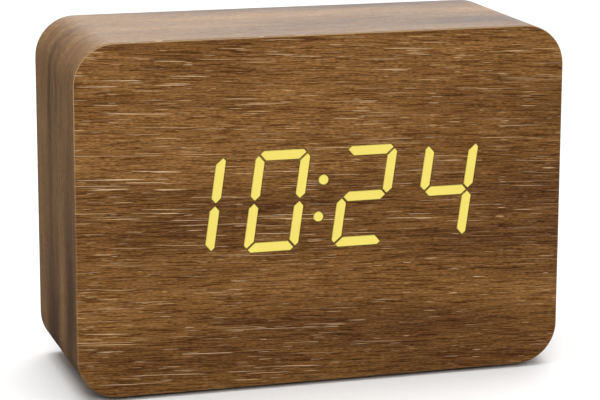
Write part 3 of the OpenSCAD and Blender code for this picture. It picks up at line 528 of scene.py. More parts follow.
class MetalSkin(Effect):
    """Plated metal: drawn lines along one way, and dull stains."""

    title = "metal_skin"
    takes = {"Place": Kind.VECTOR, "Colour": Kind.COLOUR, "Stain": Kind.COLOUR, "Rough": Kind.NUMBER}
    gives = {"Colour": Kind.COLOUR, "Roughness": Kind.NUMBER, "Height": Kind.NUMBER}

    lines = Pattern((300, 2600, 2600), 3.0)
    stains = Pattern((180, 180, 180), 17.0, detail=3.0, low=0.5, high=0.72)
    tone_base = 0.85
    tone_in_lines = 0.3
    rough_in_lines = 0.16
    rough_in_stains = 0.25

    @classmethod
    def draw(cls, graph: Graph, given: Sockets) -> Sockets:
        """Lay out the lines and the stains.

        Args:
            graph: the group's tree.
            given: the group's inputs by name.

        Returns:
            The metal's colour, roughness and height.
        """
        lines = graph.noise(given["Place"], cls.lines)
        stain = graph.mask(given["Place"], cls.stains)
        clean = graph.tint(given["Colour"], graph.level(lines, cls.tone_in_lines, cls.tone_base))
        colour = graph.mix(stain, clean, given["Stain"])
        rough = graph.level(lines, cls.rough_in_lines, given["Rough"])
        rough = graph.level(stain, cls.rough_in_stains, rough)
        return {"Colour": colour, "Roughness": rough, "Height": lines}


@dataclass(frozen=True)
class Finish(ABC):
    """A finish of the clock, with one material of its own."""

    name: str

    @abstractmethod
    def paint(self, graph: Graph, shader: bpy.types.Node, place: Socket) -> None:
        """Lay the finish out in its material.

        Args:
            graph: the material's tree.
            shader: its surface shader.
            place: the point on the surface, in metres.
        """

    def material(self) -> bpy.types.Material:
        """Get the finish's material, built on first use.

        Returns:
            The material.
        """
        made = bpy.data.materials.get(self.name)
        if made is not None:
            return made
        made = bpy.data.materials.new(self.name)
        made.use_nodes = True
        graph = Graph(made.node_tree)
        shader = next(n for n in made.node_tree.nodes if n.type == "BSDF_PRINCIPLED")
        self.paint(graph, shader, graph.add("TexCoord").outputs["Object"])
        return made

    def rub_edges(self, graph: Graph, place: Socket, made: Sockets, radius: float, share: float,
                  worn: Triple) -> Sockets:
        """Round the edges off and show a worn colour along them.

        Args:
            graph: the material's tree.
            place: the point on the surface, in metres.
            made: the surface's sockets, of which Colour is changed.
            radius: how round the edges are, in metres.
            share: how far rubbed edges take on the worn colour.
            worn: that colour.

        Returns:
            The outputs of the edge effect by name.
        """
        wear = EdgeWear.use(graph, {"Place": place, "Radius": radius})
        made["Colour"] = graph.mix(graph.times(wear["Mask"], share), made["Colour"], worn)
        return wear

    def set_surface(self, graph: Graph, shader: bpy.types.Node, made: Sockets, depth: float,
                    normal: Socket | None = None) -> None:
        """Bring colour, roughness and relief to the shader.

        Args:
            graph: the material's tree.
            shader: its surface shader.
            made: sockets named Colour, Roughness and Height.
            depth: how deep the relief is, in metres.
            normal: the normal that the relief is laid on.
        """
        graph.feed(shader.inputs["Base Color"], made["Colour"])
        graph.feed(shader.inputs["Roughness"], made["Roughness"])
        bump = graph.add("Bump")
        graph.feed(bump.inputs["Distance"], depth)
        graph.feed(bump.inputs["Height"], made["Height"])
        if normal is not None:
            graph.feed(bump.inputs["Normal"], normal)
        graph.feed(shader.inputs["Normal"], bump.outputs[0])


class GrainRun(Enum):
    """Which way the veneer was laid: the axis across the grain."""

    FRONT = "z"
    WRAP = "y"


@dataclass(frozen=True)
class Veneer(Finish):
    """Satin walnut veneer over the case.

    Attributes:
        run: which way it was laid.
        shadow_rim: the painted shadow round the lit openings, as far as lit_margin from them.
        cut_edge: the colour of rubbed edges and of the front's arris.
        drift: how the tone changes to a metre, along and across the grain, as a painted fall of light.
        slope: how far the grain climbs along the front.
        arris_front: how far a face is turned from the front where the arris starts, by its normal's depth.
        arris_side: how far it is turned where the arris ends at the sides.
        worn_and_highlit: the heights between which the painted highlight on the arris grows.
        arris_highlight: how strong that painted highlight is below and above them.
    """

    run: GrainRun = GrainRun.FRONT
    dark: Triple = (0.122, 0.05, 0.0119)
    middle: Triple = (0.175, 0.0765, 0.0187)
    light: Triple = (0.238, 0.113, 0.0298)
    fleck: Triple = (1.0, 0.71, 0.42)
    shadow_rim: Triple = (0.06, 0.042, 0.008)
    cut_edge: Triple = (0.36, 0.23, 0.11)
    pores: float = 0.9
    flecks: float = 0.82
    drift: Triple = (0.0, 0.0, 0.0)
    slope: float = 0.0
    sheen_level: float = 0.3
    relief: float = 0.05 * MM
    edge_radius: float = 0.3 * MM
    edge_wear: float = 0.3
    arris_front: tuple[float, float] = (-0.95, -0.85)
    arris_side: tuple[float, float] = (-0.1, -0.3)
    worn_and_highlit: tuple[float, float] = (30.0 * MM, 62.0 * MM)
    arris_highlight: tuple[float, float] = (0.25, 0.9)
    lit_margin: float = 2.0 * MM

    def paint(self, graph: Graph, shader: bpy.types.Node, place: Socket) -> None:
        """Lay the grain, the pale cut edge of the front sheet with its painted highlight, the painted shadow
        round the lit openings and the rubbed edges.

        Args:
            graph: the material's tree.
            shader: its surface shader.
            place: the point on the surface, in metres.
        """
        x, y, z = graph.split(place)
        across = graph.level(x, self.slope, z)
        grain_place = graph.join(x, across, y) if self.run is GrainRun.FRONT else place
        made = VeneerGrain.use(graph, {
            "Place": grain_place, "Dark": self.dark, "Middle": self.middle, "Light": self.light,
            "Fleck": self.fleck, "Pores": self.pores, "Flecks": self.flecks,
            "Drift": graph.vector("DOT_PRODUCT", grain_place, self.drift)})
        wear = self.rub_edges(graph, place, made, self.edge_radius, self.edge_wear, self.cut_edge)
        if self.run is GrainRun.FRONT:
            made["Colour"] = self.edge_front(graph, made["Colour"], x, z, wear["Line"])
        graph.feed(shader.inputs["Specular IOR Level"], self.sheen_level)
        self.set_surface(graph, shader, made, self.relief, wear["Normal"])

    def edge_front(self, graph: Graph, colour: Socket, x: Socket, z: Socket, line: Socket) -> Socket:
        """Show pale wood on the front sheet's arris, with a painted highlight towards the top, and painted
        shadow rims round the lit openings.

        Args:
            graph: the material's tree.
            colour: the colour of the face.
            x: the place across the front.
            z: the place up the front.
            line: a mask along all edges.

        Returns:
            The colour with its edges.
        """
        faces = graph.split(graph.add("NewGeometry").outputs["True Normal"])[1]
        arris = graph.times(graph.between(faces, *self.arris_front), graph.between(faces, *self.arris_side))
        # pale cut wood on the arris, made paler towards the top as a painted highlight where light catches
        # it
        least, most = self.arris_highlight
        pale = graph.level(graph.between(z, *self.worn_and_highlit), most - least, least)
        colour = graph.mix(graph.times(arris, pale), colour, self.cut_edge)
        low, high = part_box("lit_segments")
        middle, half = (low + high) / 2, (high - low) / 2
        beside = graph.math("COMPARE", x, middle.x, half.x + self.lit_margin)
        level = graph.math("COMPARE", z, middle.z, half.z + self.lit_margin)
        # painted shadow: dark rims along the edges of the openings round the lit segments
        return graph.mix(graph.times(graph.times(beside, level), line), colour, self.shadow_rim)


@dataclass(frozen=True)
class Fibreboard(Finish):
    """Raw medium-density board, as the milled rim shows it."""

    dark: Triple = (0.2, 0.125, 0.07)
    light: Triple = (0.42, 0.29, 0.17)
    relief: float = 0.08 * MM
    fibres: Pattern = Pattern((1500, 700, 1500), 4.0, detail=3.0, roughness=0.65)
    layers: Pattern = Pattern((30, 260, 30), 9.0)
    fibre_share: float = 0.7
    to_light: tuple[float, float] = (0.35, 0.65)
    rough_base: float = 0.72
    rough_in_fibres: float = 0.2

    def paint(self, graph: Graph, shader: bpy.types.Node, place: Socket) -> None:
        """Scatter short fibres and layers of density through the board.

        Args:
            graph: the material's tree.
            shader: its surface shader.
            place: the point on the surface, in metres.
        """
        fibres = graph.noise(place, self.fibres)
        layers = graph.times(graph.noise(place, self.layers), 1.0 - self.fibre_share)
        tone = graph.level(fibres, self.fibre_share, layers)
        made = {"Colour": graph.mix(graph.between(tone, *self.to_light), self.dark, self.light),
                "Roughness": graph.level(fibres, self.rough_in_fibres, self.rough_base), "Height": fibres}
        self.set_surface(graph, shader, made, self.relief)


@dataclass(frozen=True)
class Glow(Finish):
    """Light that comes through the opened front, dimmed to a painted shadow at the rim of each segment."""

    lamp: Triple = (0.87, 0.715, 0.15)
    shadow_rim: Triple = (0.16, 0.1, 0.012)
    body: Triple = (0.05, 0.04, 0.01)
    rim_width: float = 0.16 * MM
    strength: float = 1.0
    gloss: float = 0.1
    cloud: Pattern = Pattern((160, 160, 160), 6.0)
    tone_base: float = 0.94
    tone_in_cloud: float = 0.12
    rough_base: float = 0.5
    rough_in_cloud: float = 0.2

    def paint(self, graph: Graph, shader: bpy.types.Node, place: Socket) -> None:
        """Dim the glow to a painted shadow towards the edges and cloud it slightly.

        Args:
            graph: the material's tree.
            shader: its surface shader.
            place: the point on the surface, in metres.
        """
        cloud = graph.noise(place, self.cloud)
        wear = EdgeWear.use(graph, {"Place": place, "Radius": self.rim_width})
        lit = graph.tint(self.lamp, graph.level(cloud, self.tone_in_cloud, self.tone_base))
        graph.feed(shader.inputs["Base Color"], self.body)
        # painted shadow: the glow turns dim and brown along each segment's edge
        graph.feed(shader.inputs["Emission Color"], graph.mix(wear["Line"], lit, self.shadow_rim))
        graph.feed(shader.inputs["Emission Strength"], self.strength)
        rough = graph.level(cloud, self.rough_in_cloud, self.rough_base)
        graph.feed(shader.inputs["Roughness"], rough)
        graph.feed(shader.inputs["Specular IOR Level"], self.gloss)


@dataclass(frozen=True)
class Moulded(Finish):
    """A moulded plastic or rubber."""

    colour: Triple = (0.03, 0.03, 0.032)
    dust: Triple = (0.1, 0.098, 0.095)
    worn: Triple = (0.12, 0.12, 0.12)
    rough: float = 0.5
    relief: float = 0.03 * MM
    edge_radius: float = 0.2 * MM
    edge_wear: float = 0.5

    def paint(self, graph: Graph, shader: bpy.types.Node, place: Socket) -> None:
        """Lay the skin and rub its edges.

        Args:
            graph: the material's tree.
            shader: its surface shader.
            place: the point on the surface, in metres.
        """
        made = MouldedSkin.use(graph, {"Place": place, "Colour": self.colour, "Dust": self.dust,
                                       "Rough": self.rough})
        wear = self.rub_edges(graph, place, made, self.edge_radius, self.edge_wear, self.worn)
        self.set_surface(graph, shader, made, self.relief, wear["Normal"])


@dataclass(frozen=True)
class Metal(Finish):
    """A plated or enamelled metal."""

    colour: Triple = (0.72, 0.72, 0.7)
    stain: Triple = (0.42, 0.41, 0.39)
    worn: Triple = (0.8, 0.8, 0.78)
    rough: float = 0.2
    relief: float = 0.01 * MM
    edge_radius: float = 0.12 * MM
    edge_wear: float = 0.4

    def paint(self, graph: Graph, shader: bpy.types.Node, place: Socket) -> None:
        """Lay the drawn lines and stains on rounded edges.

        Args:
            graph: the material's tree.
            shader: its surface shader.
            place: the point on the surface, in metres.
        """
        made = MetalSkin.use(graph, {"Place": place, "Colour": self.colour, "Stain": self.stain,
                                     "Rough": self.rough})
        wear = self.rub_edges(graph, place, made, self.edge_radius, self.edge_wear, self.worn)
        graph.feed(shader.inputs["Metallic"], 1.0)
        self.set_surface(graph, shader, made, self.relief, wear["Normal"])


@dataclass(frozen=True)
class SolderMask(Finish):
    """A circuit board under green lacquer, with the raised lines of its tracks.

    Attributes:
        pitch: how many cells of tracks there are to a metre.
        tracks_in_cell: how many tracks run round each cell.
        track_edge: where in its step a track rises and where it is full.
    """

    lacquer: Triple = (0.012, 0.09, 0.035)
    over_track: Triple = (0.03, 0.2, 0.075)
    relief: float = 0.03 * MM
    pitch: float = 420.0
    tracks_in_cell: float = 2.5
    track_edge: tuple[float, float] = (0.55, 0.65)
    cloud: Pattern = Pattern((260, 260, 260), 8.0)
    tone_base: float = 0.8
    tone_in_cloud: float = 0.4
    rough_base: float = 0.2
    rough_in_cloud: float = 0.2

    def paint(self, graph: Graph, shader: bpy.types.Node, place: Socket) -> None:
        """Run tracks in straight steps across the board.

        Args:
            graph: the material's tree.
            shader: its surface shader.
            place: the point on the surface, in metres.
        """
        cells = graph.add("TexVoronoi", distance="MANHATTAN", feature="F1")
        graph.feed(cells.inputs["Vector"], graph.vector("MULTIPLY", place, (self.pitch, 0.0, self.pitch)))
        graph.feed(cells.inputs["Scale"], 1.0)
        wave = graph.math("FRACT", graph.times(cells.outputs["Distance"], self.tracks_in_cell))
        tracks = graph.between(wave, *self.track_edge)
        cloud = graph.noise(place, self.cloud)
        tone = graph.level(cloud, self.tone_in_cloud, self.tone_base)
        colour = graph.tint(graph.mix(tracks, self.lacquer, self.over_track), tone)
        rough = graph.level(cloud, self.rough_in_cloud, self.rough_base)
        made = {"Colour": colour, "Roughness": rough, "Height": tracks}
        self.set_surface(graph, shader, made, self.relief)


@dataclass(frozen=True)
class Sleeved(Finish):
    """A metal can in a printed or shrunk sleeve, bare at its ends.

    Attributes:
        middle: where the can's middle is, across the clock.
        way: 1 where its banded end is on the right, -1 where it is on the left.
        half_sleeve: how far from the middle the sleeve reaches.
        half_plain: how far from the middle the band starts.
        blur: how soft these borders are.
        band_base: the least strength of the band's tone.
        rough_in_bare: what bare metal adds to the roughness.
    """

    sleeve: Triple = (0.02, 0.034, 0.036)
    band: Triple = (0.4, 0.41, 0.42)
    can: Triple = (0.7, 0.7, 0.68)
    stain: Triple = (0.45, 0.44, 0.42)
    sleeve_rough: float = 0.3
    rough_in_bare: float = 0.05
    band_base: float = 0.5
    middle: float = 0.0
    way: float = 1.0
    half_sleeve: float = 20.5 * MM
    half_plain: float = 12.0 * MM
    blur: float = 0.1 * MM
    relief: float = 0.01 * MM

    def paint(self, graph: Graph, shader: bpy.types.Node, place: Socket) -> None:
        """Set sleeve, band and bare metal along the can.

        Args:
            graph: the material's tree.
            shader: its surface shader.
            place: the point on the surface, in metres.
        """
        metal = MetalSkin.use(graph, {"Place": place, "Colour": self.can, "Stain": self.stain})
        skin = MouldedSkin.use(graph, {"Place": place, "Colour": self.sleeve, "Dust": self.band,
                                       "Rough": self.sleeve_rough})
        along = graph.times(graph.math("SUBTRACT", graph.split(place)[0], self.middle), self.way)
        bare = graph.between(graph.math("ABSOLUTE", along), self.half_sleeve - self.blur, self.half_sleeve)
        banded = graph.between(along, self.half_plain - self.blur, self.half_plain)
        band = graph.tint(self.band, graph.math("ADD", skin["Height"], self.band_base))
        film = graph.mix(banded, skin["Colour"], band)
        rough = graph.level(bare, self.rough_in_bare, skin["Roughness"])
        colour = graph.mix(bare, film, metal["Colour"])
        made = {"Colour": colour, "Roughness": rough, "Height": metal["Height"]}
        graph.feed(shader.inputs["Metallic"], bare)
        self.set_surface(graph, shader, made, self.relief)


@dataclass(frozen=True)
class PaleFloor(Finish):
    """The plain pale studio floor, seen only from above."""

    light: Triple = (0.94, 0.94, 0.94)
    shade: Triple = (0.91, 0.91, 0.91)
    rough: float = 0.95
    gloss: float = 0.0
    cloud: Pattern = Pattern((9, 9, 9), 1.0)

    def paint(self, graph: Graph, shader: bpy.types.Node, place: Socket) -> None:
        """Cloud the floor faintly and clear its underside.

        Args:
            graph: the material's tree.
            shader: its surface shader.
            place: the point on the surface, in metres.
        """
        colour = graph.mix(graph.noise(place, self.cloud), self.light, self.shade)
        graph.feed(shader.inputs["Base Color"], colour)
        graph.feed(shader.inputs["Roughness"], self.rough)
        graph.feed(shader.inputs["Specular IOR Level"], self.gloss)
        output = next(n for n in graph.tree.nodes if n.type == "OUTPUT_MATERIAL")
        either = graph.add("MixShader")
        graph.feed(either.inputs[0], graph.add("NewGeometry").outputs["Backfacing"])
        graph.feed(either.inputs[1], shader.outputs[0])
        graph.feed(either.inputs[2], graph.add("BsdfTransparent").outputs[0])
        graph.feed(output.inputs["Surface"], either.outputs[0])


# painted light falloff: the front is lighter towards its upper left and darker to the right
WALNUT_FRONT = Veneer("walnut_front", run=GrainRun.FRONT, drift=(-0.7, 0.7, 0.0), slope=0.045,
                      sheen_level=0.12)
WALNUT_WRAP = Veneer("walnut_wrap", run=GrainRun.WRAP, dark=(0.107, 0.056, 0.026),
                     middle=(0.213, 0.115, 0.048), light=(0.325, 0.179, 0.068), fleck=(0.66, 0.47, 0.27),
                     pores=0.45, flecks=0.06, sheen_level=0.42, relief=0.015 * MM)
RAW_BOARD = Fibreboard("raw_fibreboard")
YELLOW_GLOW = Glow("yellow_glow")
MILKY_WELL = Moulded("milky_diffuser", colour=(0.8, 0.76, 0.6), dust=(0.7, 0.66, 0.5),
                     worn=(0.86, 0.83, 0.7), rough=0.35, relief=0.01 * MM)
FOAM_PAD = Moulded("foam_pad", colour=(0.045, 0.045, 0.046), dust=(0.2, 0.19, 0.18), worn=(0.1, 0.1, 0.1),
                   rough=0.85, relief=0.09 * MM)
COVER_BLACK = Moulded("cover_black", colour=(0.026, 0.026, 0.028), rough=0.52)
CONTROL_BLACK = Moulded("control_black", colour=(0.042, 0.042, 0.044), rough=0.36, relief=0.012 * MM)
DISPLAY_BLACK = Moulded("display_black_matt", colour=(0.03, 0.03, 0.03), rough=0.62)
CHIP_BLACK = Moulded("component_epoxy", colour=(0.035, 0.035, 0.038), rough=0.45, relief=0.015 * MM)
SIGN_PALE = Moulded("sign_pale", colour=(0.55, 0.54, 0.52), dust=(0.4, 0.39, 0.37), worn=(0.3, 0.3, 0.3),
                    relief=0.01 * MM, edge_radius=0.03 * MM)
NYLON = Moulded("white_nylon_satin", colour=(0.78, 0.76, 0.7), dust=(0.62, 0.6, 0.55),
                worn=(0.85, 0.83, 0.78), rough=0.4, relief=0.01 * MM)
RIBBON = Moulded("ribbon_vinyl", colour=(0.5, 0.5, 0.5), dust=(0.4, 0.4, 0.4), worn=(0.6, 0.6, 0.6),
                 rough=0.45, relief=0.01 * MM)
RED_VINYL = Moulded("red_vinyl", colour=(0.5, 0.03, 0.025), dust=(0.4, 0.06, 0.05), worn=(0.6, 0.1, 0.08),
                    rough=0.35, relief=0.008 * MM)
FERRITE = Moulded("ferrite_grey", colour=(0.05, 0.05, 0.053), dust=(0.11, 0.11, 0.11),
                  worn=(0.15, 0.15, 0.15), rough=0.68)
BLACKENED = Metal("blackened_steel", colour=(0.09, 0.09, 0.092), stain=(0.05, 0.05, 0.05), rough=0.34)
TINNED = Metal("tinned_steel")
ZINC = Metal("zinc_plate", colour=(0.62, 0.62, 0.6), stain=(0.5, 0.49, 0.44), rough=0.3)
COPPER = Metal("enamelled_copper", colour=(0.72, 0.3, 0.12), stain=(0.5, 0.17, 0.06), rough=0.24)
BOARD_GREEN = SolderMask("solder_mask_green")
CAPACITOR = Sleeved("capacitor_sleeve_blue", sleeve=(0.02, 0.035, 0.13), band=(0.5, 0.5, 0.52),
                    middle=18.25 * MM, half_sleeve=40.0 * MM, half_plain=4.0 * MM)
CELL_ONE_WAY = Sleeved("cell_film_outer", middle=-7.3 * MM)
CELL_OTHER_WAY = Sleeved("cell_film_middle", middle=-11.8 * MM, way=-1.0)
FLOOR = PaleFloor("pale_floor")


def add_mesh(name: str, bm: bmesh.types.BMesh, finish: Finish) -> bpy.types.Object:
    """Turn a mesh under construction into a dressed object.

    Args:
        name: the piece's name.
        bm: its mesh, freed here.
        finish: what it wears.

    Returns:
        The new object.
    """
    bmesh.ops.recalc_face_normals(bm, faces=bm.faces)
    mesh = bpy.data.meshes.new(name)
    bm.to_mesh(mesh)
    bm.free()
    mesh.materials.append(finish.material())
    made = bpy.data.objects.new(name, mesh)
    bpy.context.scene.collection.objects.link(made)
    return made


def around(count: int) -> list[float]:
    """List so many angles, evenly round a full turn."""
    return [2 * math.pi * i / count for i in range(count)]


def bridge(bm: bmesh.types.BMesh, first: list[bmesh.types.BMVert], second: list[bmesh.types.BMVert]) -> None:
    """Join two closed rings of points with faces.

    Args:
        bm: the mesh to add to.
        first: one ring.
        second: the other, with as many points.
    """
    for i in range(len(first)):
        n = (i + 1) % len(first)
        bm.faces.new((first[i], first[n], second[n], second[i]))


@dataclass
class Assembly:
    """A group of pieces that belong together, dressed or built in one go.

    Attributes:
        coats: the pieces that wear each finish.
    """

    coats: ClassVar[dict[Finish, tuple[str, ...]]] = {}

    def dress(self) -> list[str]:
        """Give each carried-over piece its finish.

        Returns:
            One line for each piece.
        """
        lines = []
        for finish, nodes in self.coats.items():
            for name in nodes:
                frame["nodes"][name].material_slots[0].material = finish.material()
                lines.append(f"{name} in {finish.name}")
        return lines

    def build(self) -> list[str]:
        """Make the pieces that the frame lacks, none here."""
        return []


@dataclass
class Case(Assembly):
    """The fibreboard shell in its veneers, on four pads."""

    coats: ClassVar = {WALNUT_FRONT: ("front_veneer",), WALNUT_WRAP: ("wrap_veneer",),
                       RAW_BOARD: ("case_body",), FOAM_PAD: ("foot_pads",)}


@dataclass
class TimeDisplay(Assembly):
    """The lit time and the four-digit block behind it."""

    coats: ClassVar = {YELLOW_GLOW: ("lit_segments",), DISPLAY_BLACK: ("display_housing",),
                       MILKY_WELL: ("segment_diffusers",), TINNED: ("display_pins",)}


@dataclass
class MainBoard(Assembly):
    """The main board with its chip, crystal, capacitors and time-signal receiver."""

    coats: ClassVar = {BOARD_GREEN: ("main_board", "receiver_board"),
                       CHIP_BLACK: ("controller_chip", "receiver_chip"), TINNED: ("quartz_crystal",),
                       CAPACITOR: ("capacitors",), NYLON: ("board_spacers",), ZINC: ("board_screws",)}


@dataclass
class Aerial(Assembly):
    """The ferrite rod with its wound coil.

    Attributes:
        wire: the wire's diameter.
        step: how far each turn moves along.
        points: how many points make a turn.
        sides: how many sides the wire has.
        proud: the share of the wire's thickness that stands above the layers under it.
    """

    wire: float = 0.4 * MM
    step: float = 0.42 * MM
    points: int = 24
    sides: int = 6
    proud: float = 0.8

    coats: ClassVar = {FERRITE: ("ferrite_rod",), NYLON: ("antenna_bobbin", "antenna_holders"),
                       COPPER: ("antenna_leads",)}

    def build(self) -> list[str]:
        """Wind the coil, turn by turn, where the frame has its plain tube.

        Returns:
            One line for the coil.
        """
        low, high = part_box("antenna_winding")
        middle = (low + high) / 2
        outer = (high.z - low.z) / 2
        spots = [v.co - middle for v in frame["nodes"]["antenna_winding"].data.vertices]
        inner = min(math.hypot(p.y, p.z) for p in spots)
        bm = bmesh.new()
        self.wind(bm, low.x + self.wire / 2, high.x - self.wire / 2, outer - self.wire / 2)
        self.line(bm, low.x, high.x, inner, outer - self.wire * self.proud)
        bmesh.ops.translate(bm, verts=bm.verts, vec=(0.0, middle.y, middle.z))
        coil = add_mesh("antenna_coil", bm, COPPER)
        coil.data.shade_smooth()
        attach(coil, "case")
        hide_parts("antenna_winding")
        return [f"{coil.name} in {COPPER.name}"]

    def wind(self, bm: bmesh.types.BMesh, start: float, end: float, radius: float) -> None:
        """Add the wire as one tube round the rod's axis.

        Args:
            bm: the mesh to add to.
            start: where along the rod the wire starts.
            end: where it ends.
            radius: how far its middle is from the axis.
        """
        count = int((end - start) / self.step * self.points)
        along = Vector((1.0, 0.0, 0.0))
        half = self.wire / 2
        rings = []
        for i in range(count + 1):
            turn = 2 * math.pi * i / self.points
            out = Vector((0.0, math.cos(turn), math.sin(turn)))
            centre = along * (start + (end - start) * i / count) + out * radius
            rings.append([bm.verts.new(centre + half * (math.cos(c) * out + math.sin(c) * along))
                          for c in around(self.sides)])
        for first, second in zip(rings, rings[1:]):
            bridge(bm, first, second)
        bm.faces.new(rings[0])
        bm.faces.new(rings[-1])

    def line(self, bm: bmesh.types.BMesh, start: float, end: float, inner: float, outer: float) -> None:
        """Add the layers under the wire as one closed tube.

        Args:
            bm: the mesh to add to.
            start: where along the rod the tube starts.
            end: where it ends.
            inner: its inner radius.
            outer: its outer radius.
        """
        corners = ((start, inner), (start, outer), (end, outer), (end, inner))
        rings = [[bm.verts.new((x, r * math.cos(t), r * math.sin(t))) for t in around(2 * self.points)]
                 for x, r in corners]
        for first, second in zip(rings, rings[1:] + rings[:1]):
            bridge(bm, first, second)


@dataclass
class ControlBoard(Assembly):
    """The board behind the buttons, its switches, sounder and ribbon."""

    coats: ClassVar = {BOARD_GREEN: ("control_board",), ZINC: ("control_screws",),
                       CHIP_BLACK: ("tact_switches", "buzzer"), TINNED: ("alarm_switch",),
                       RIBBON: ("ribbon_cable",), NYLON: ("ribbon_connectors",)}


@dataclass
class PowerInlet(Assembly):
    """The low-voltage inlet with its pin, terminals and leads."""

    coats: ClassVar = {CHIP_BLACK: ("power_jack",), TINNED: ("jack_pin", "jack_terminals"),
                       RED_VINYL: ("jack_leads",)}


@dataclass
class Battery(Assembly):
    """Three cells between plates and springs."""

    coats: ClassVar = {TINNED: ("contact_plates", "contact_springs"), RED_VINYL: ("battery_leads",),
                       CELL_ONE_WAY: ("cell_low", "cell_high"), CELL_OTHER_WAY: ("cell_mid",)}


class Sign(Enum):
    """Raised signs by the controls, as outlines to be drawn."""

    UP = "arrowhead up"
    DOWN = "arrowhead down"
    RING = "ring"
    DOT = "dot"


@dataclass
class BackCover(Assembly):
    """The moulded cover with its door, screws and raised signs.

    Attributes:
        sign_size: how wide a sign is.
        sign_proud: how far it stands out of the cover, and how far it reaches in.
        sign_above: how far it is above its control.
        stroke: the width of a ring's line.
        arrow_tall: an arrowhead's height as a share of its width.
        round_share: a round sign's width as a share of an arrowhead's.
        round_points: how many points a round sign has.
    """

    sign_size: float = 2.2 * MM
    sign_proud: float = 0.06 * MM
    sign_above: float = 6.6 * MM
    stroke: float = 0.35 * MM
    arrow_tall: float = 0.75
    round_share: float = 0.8
    round_points: int = 32

    coats: ClassVar = {COVER_BLACK: ("back_cover", "battery_door"), BLACKENED: ("cover_screws",)}

    def build(self) -> list[str]:
        """Raise the signs on the cover, above the controls that they belong to.

        Returns:
            One line for each sign.
        """
        lines = []
        slide = next(j for j in frame["joints"] if j["name"] == "alarm_slide")
        travel = slide["range_m"][1]
        for node, sign, aside in (("set_button", Sign.RING, 0.0), ("up_button", Sign.UP, 0.0),
                                  ("down_button", Sign.DOWN, 0.0), ("alarm_slider", Sign.RING, 0.0),
                                  ("alarm_slider", Sign.DOT, travel)):
            low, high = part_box(node)
            centre = (low + high) / 2
            made = self.raise_sign(f"{node}_{sign.name.lower()}_sign", sign, centre.x + aside,
                                   centre.z + self.sign_above)
            lines.append(f"{made.name} in {SIGN_PALE.name}")
        return lines

    def outline(self, sign: Sign) -> list[list[tuple[float, float]]]:
        """Draw a sign.

        Args:
            sign: which sign.

        Returns:
            Its outer outline and, for a ring, its inner one, as points about the sign's middle.
        """
        half = self.sign_size / 2
        if sign in (Sign.UP, Sign.DOWN):
            tip = self.arrow_tall * half * (1.0 if sign is Sign.UP else -1.0)
            return [[(-half, -tip), (half, -tip), (0.0, tip)]]
        radius = half * self.round_share
        radii = [radius] if sign is Sign.DOT else [radius, radius - self.stroke]
        return [[(r * math.cos(t), r * math.sin(t)) for t in around(self.round_points)] for r in radii]

    def raise_sign(self, name: str, sign: Sign, x: float, z: float) -> bpy.types.Object:
        """Build one sign on the cover's face.

        Args:
            name: the piece's name.
            sign: which sign.
            x: where its middle is, across.
            z: where its middle is, up.

        Returns:
            The sign.
        """
        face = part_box("back_cover")[1].y
        levels = (face - self.sign_proud, face + self.sign_proud)
        bm = bmesh.new()
        rings = [[[bm.verts.new((x + u, y, z + v)) for u, v in line] for y in levels]
                 for line in self.outline(sign)]
        for back, front in rings:
            bridge(bm, back, front)
        for level in range(len(levels)):
            if len(rings) == 1:
                bm.faces.new(rings[0][level])
            else:
                bridge(bm, rings[0][level], rings[1][level])
        made = add_mesh(name, bm, SIGN_PALE)
        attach(made, "case")
        return made


@dataclass
class Controls(Assembly):
    """The three buttons and the alarm switch, with the pieces that they push."""

    coats: ClassVar = {CONTROL_BLACK: ("set_button", "up_button", "down_button", "alarm_slider"),
                       NYLON: ("set_plunger", "up_plunger", "down_plunger", "alarm_lever")}


@dataclass
class SoftBox:
    """One large soft lamp of the studio.

    Attributes:
        name: what it is called.
        place: where it hangs, in metres.
        aim: the point that it faces.
        width: how wide its pane is, in metres.
        height: how tall its pane is.
        watts: how strong it is.
    """

    name: str
    place: Triple
    aim: Triple
    width: float
    height: float
    watts: float

    def build(self) -> bpy.types.Object:
        """Hang the lamp and turn it to its aim.

        Returns:
            The lamp.
        """
        lamp = bpy.data.lights.new(self.name, "AREA")
        lamp.shape = "RECTANGLE"
        lamp.size = self.width
        lamp.size_y = self.height
        lamp.energy = self.watts
        made = bpy.data.objects.new(self.name, lamp)
        made.location = self.place
        made.rotation_mode = "QUATERNION"
        made.rotation_quaternion = (Vector(self.aim) - Vector(self.place)).to_track_quat("-Z", "Y")
        bpy.context.scene.collection.objects.link(made)
        return made


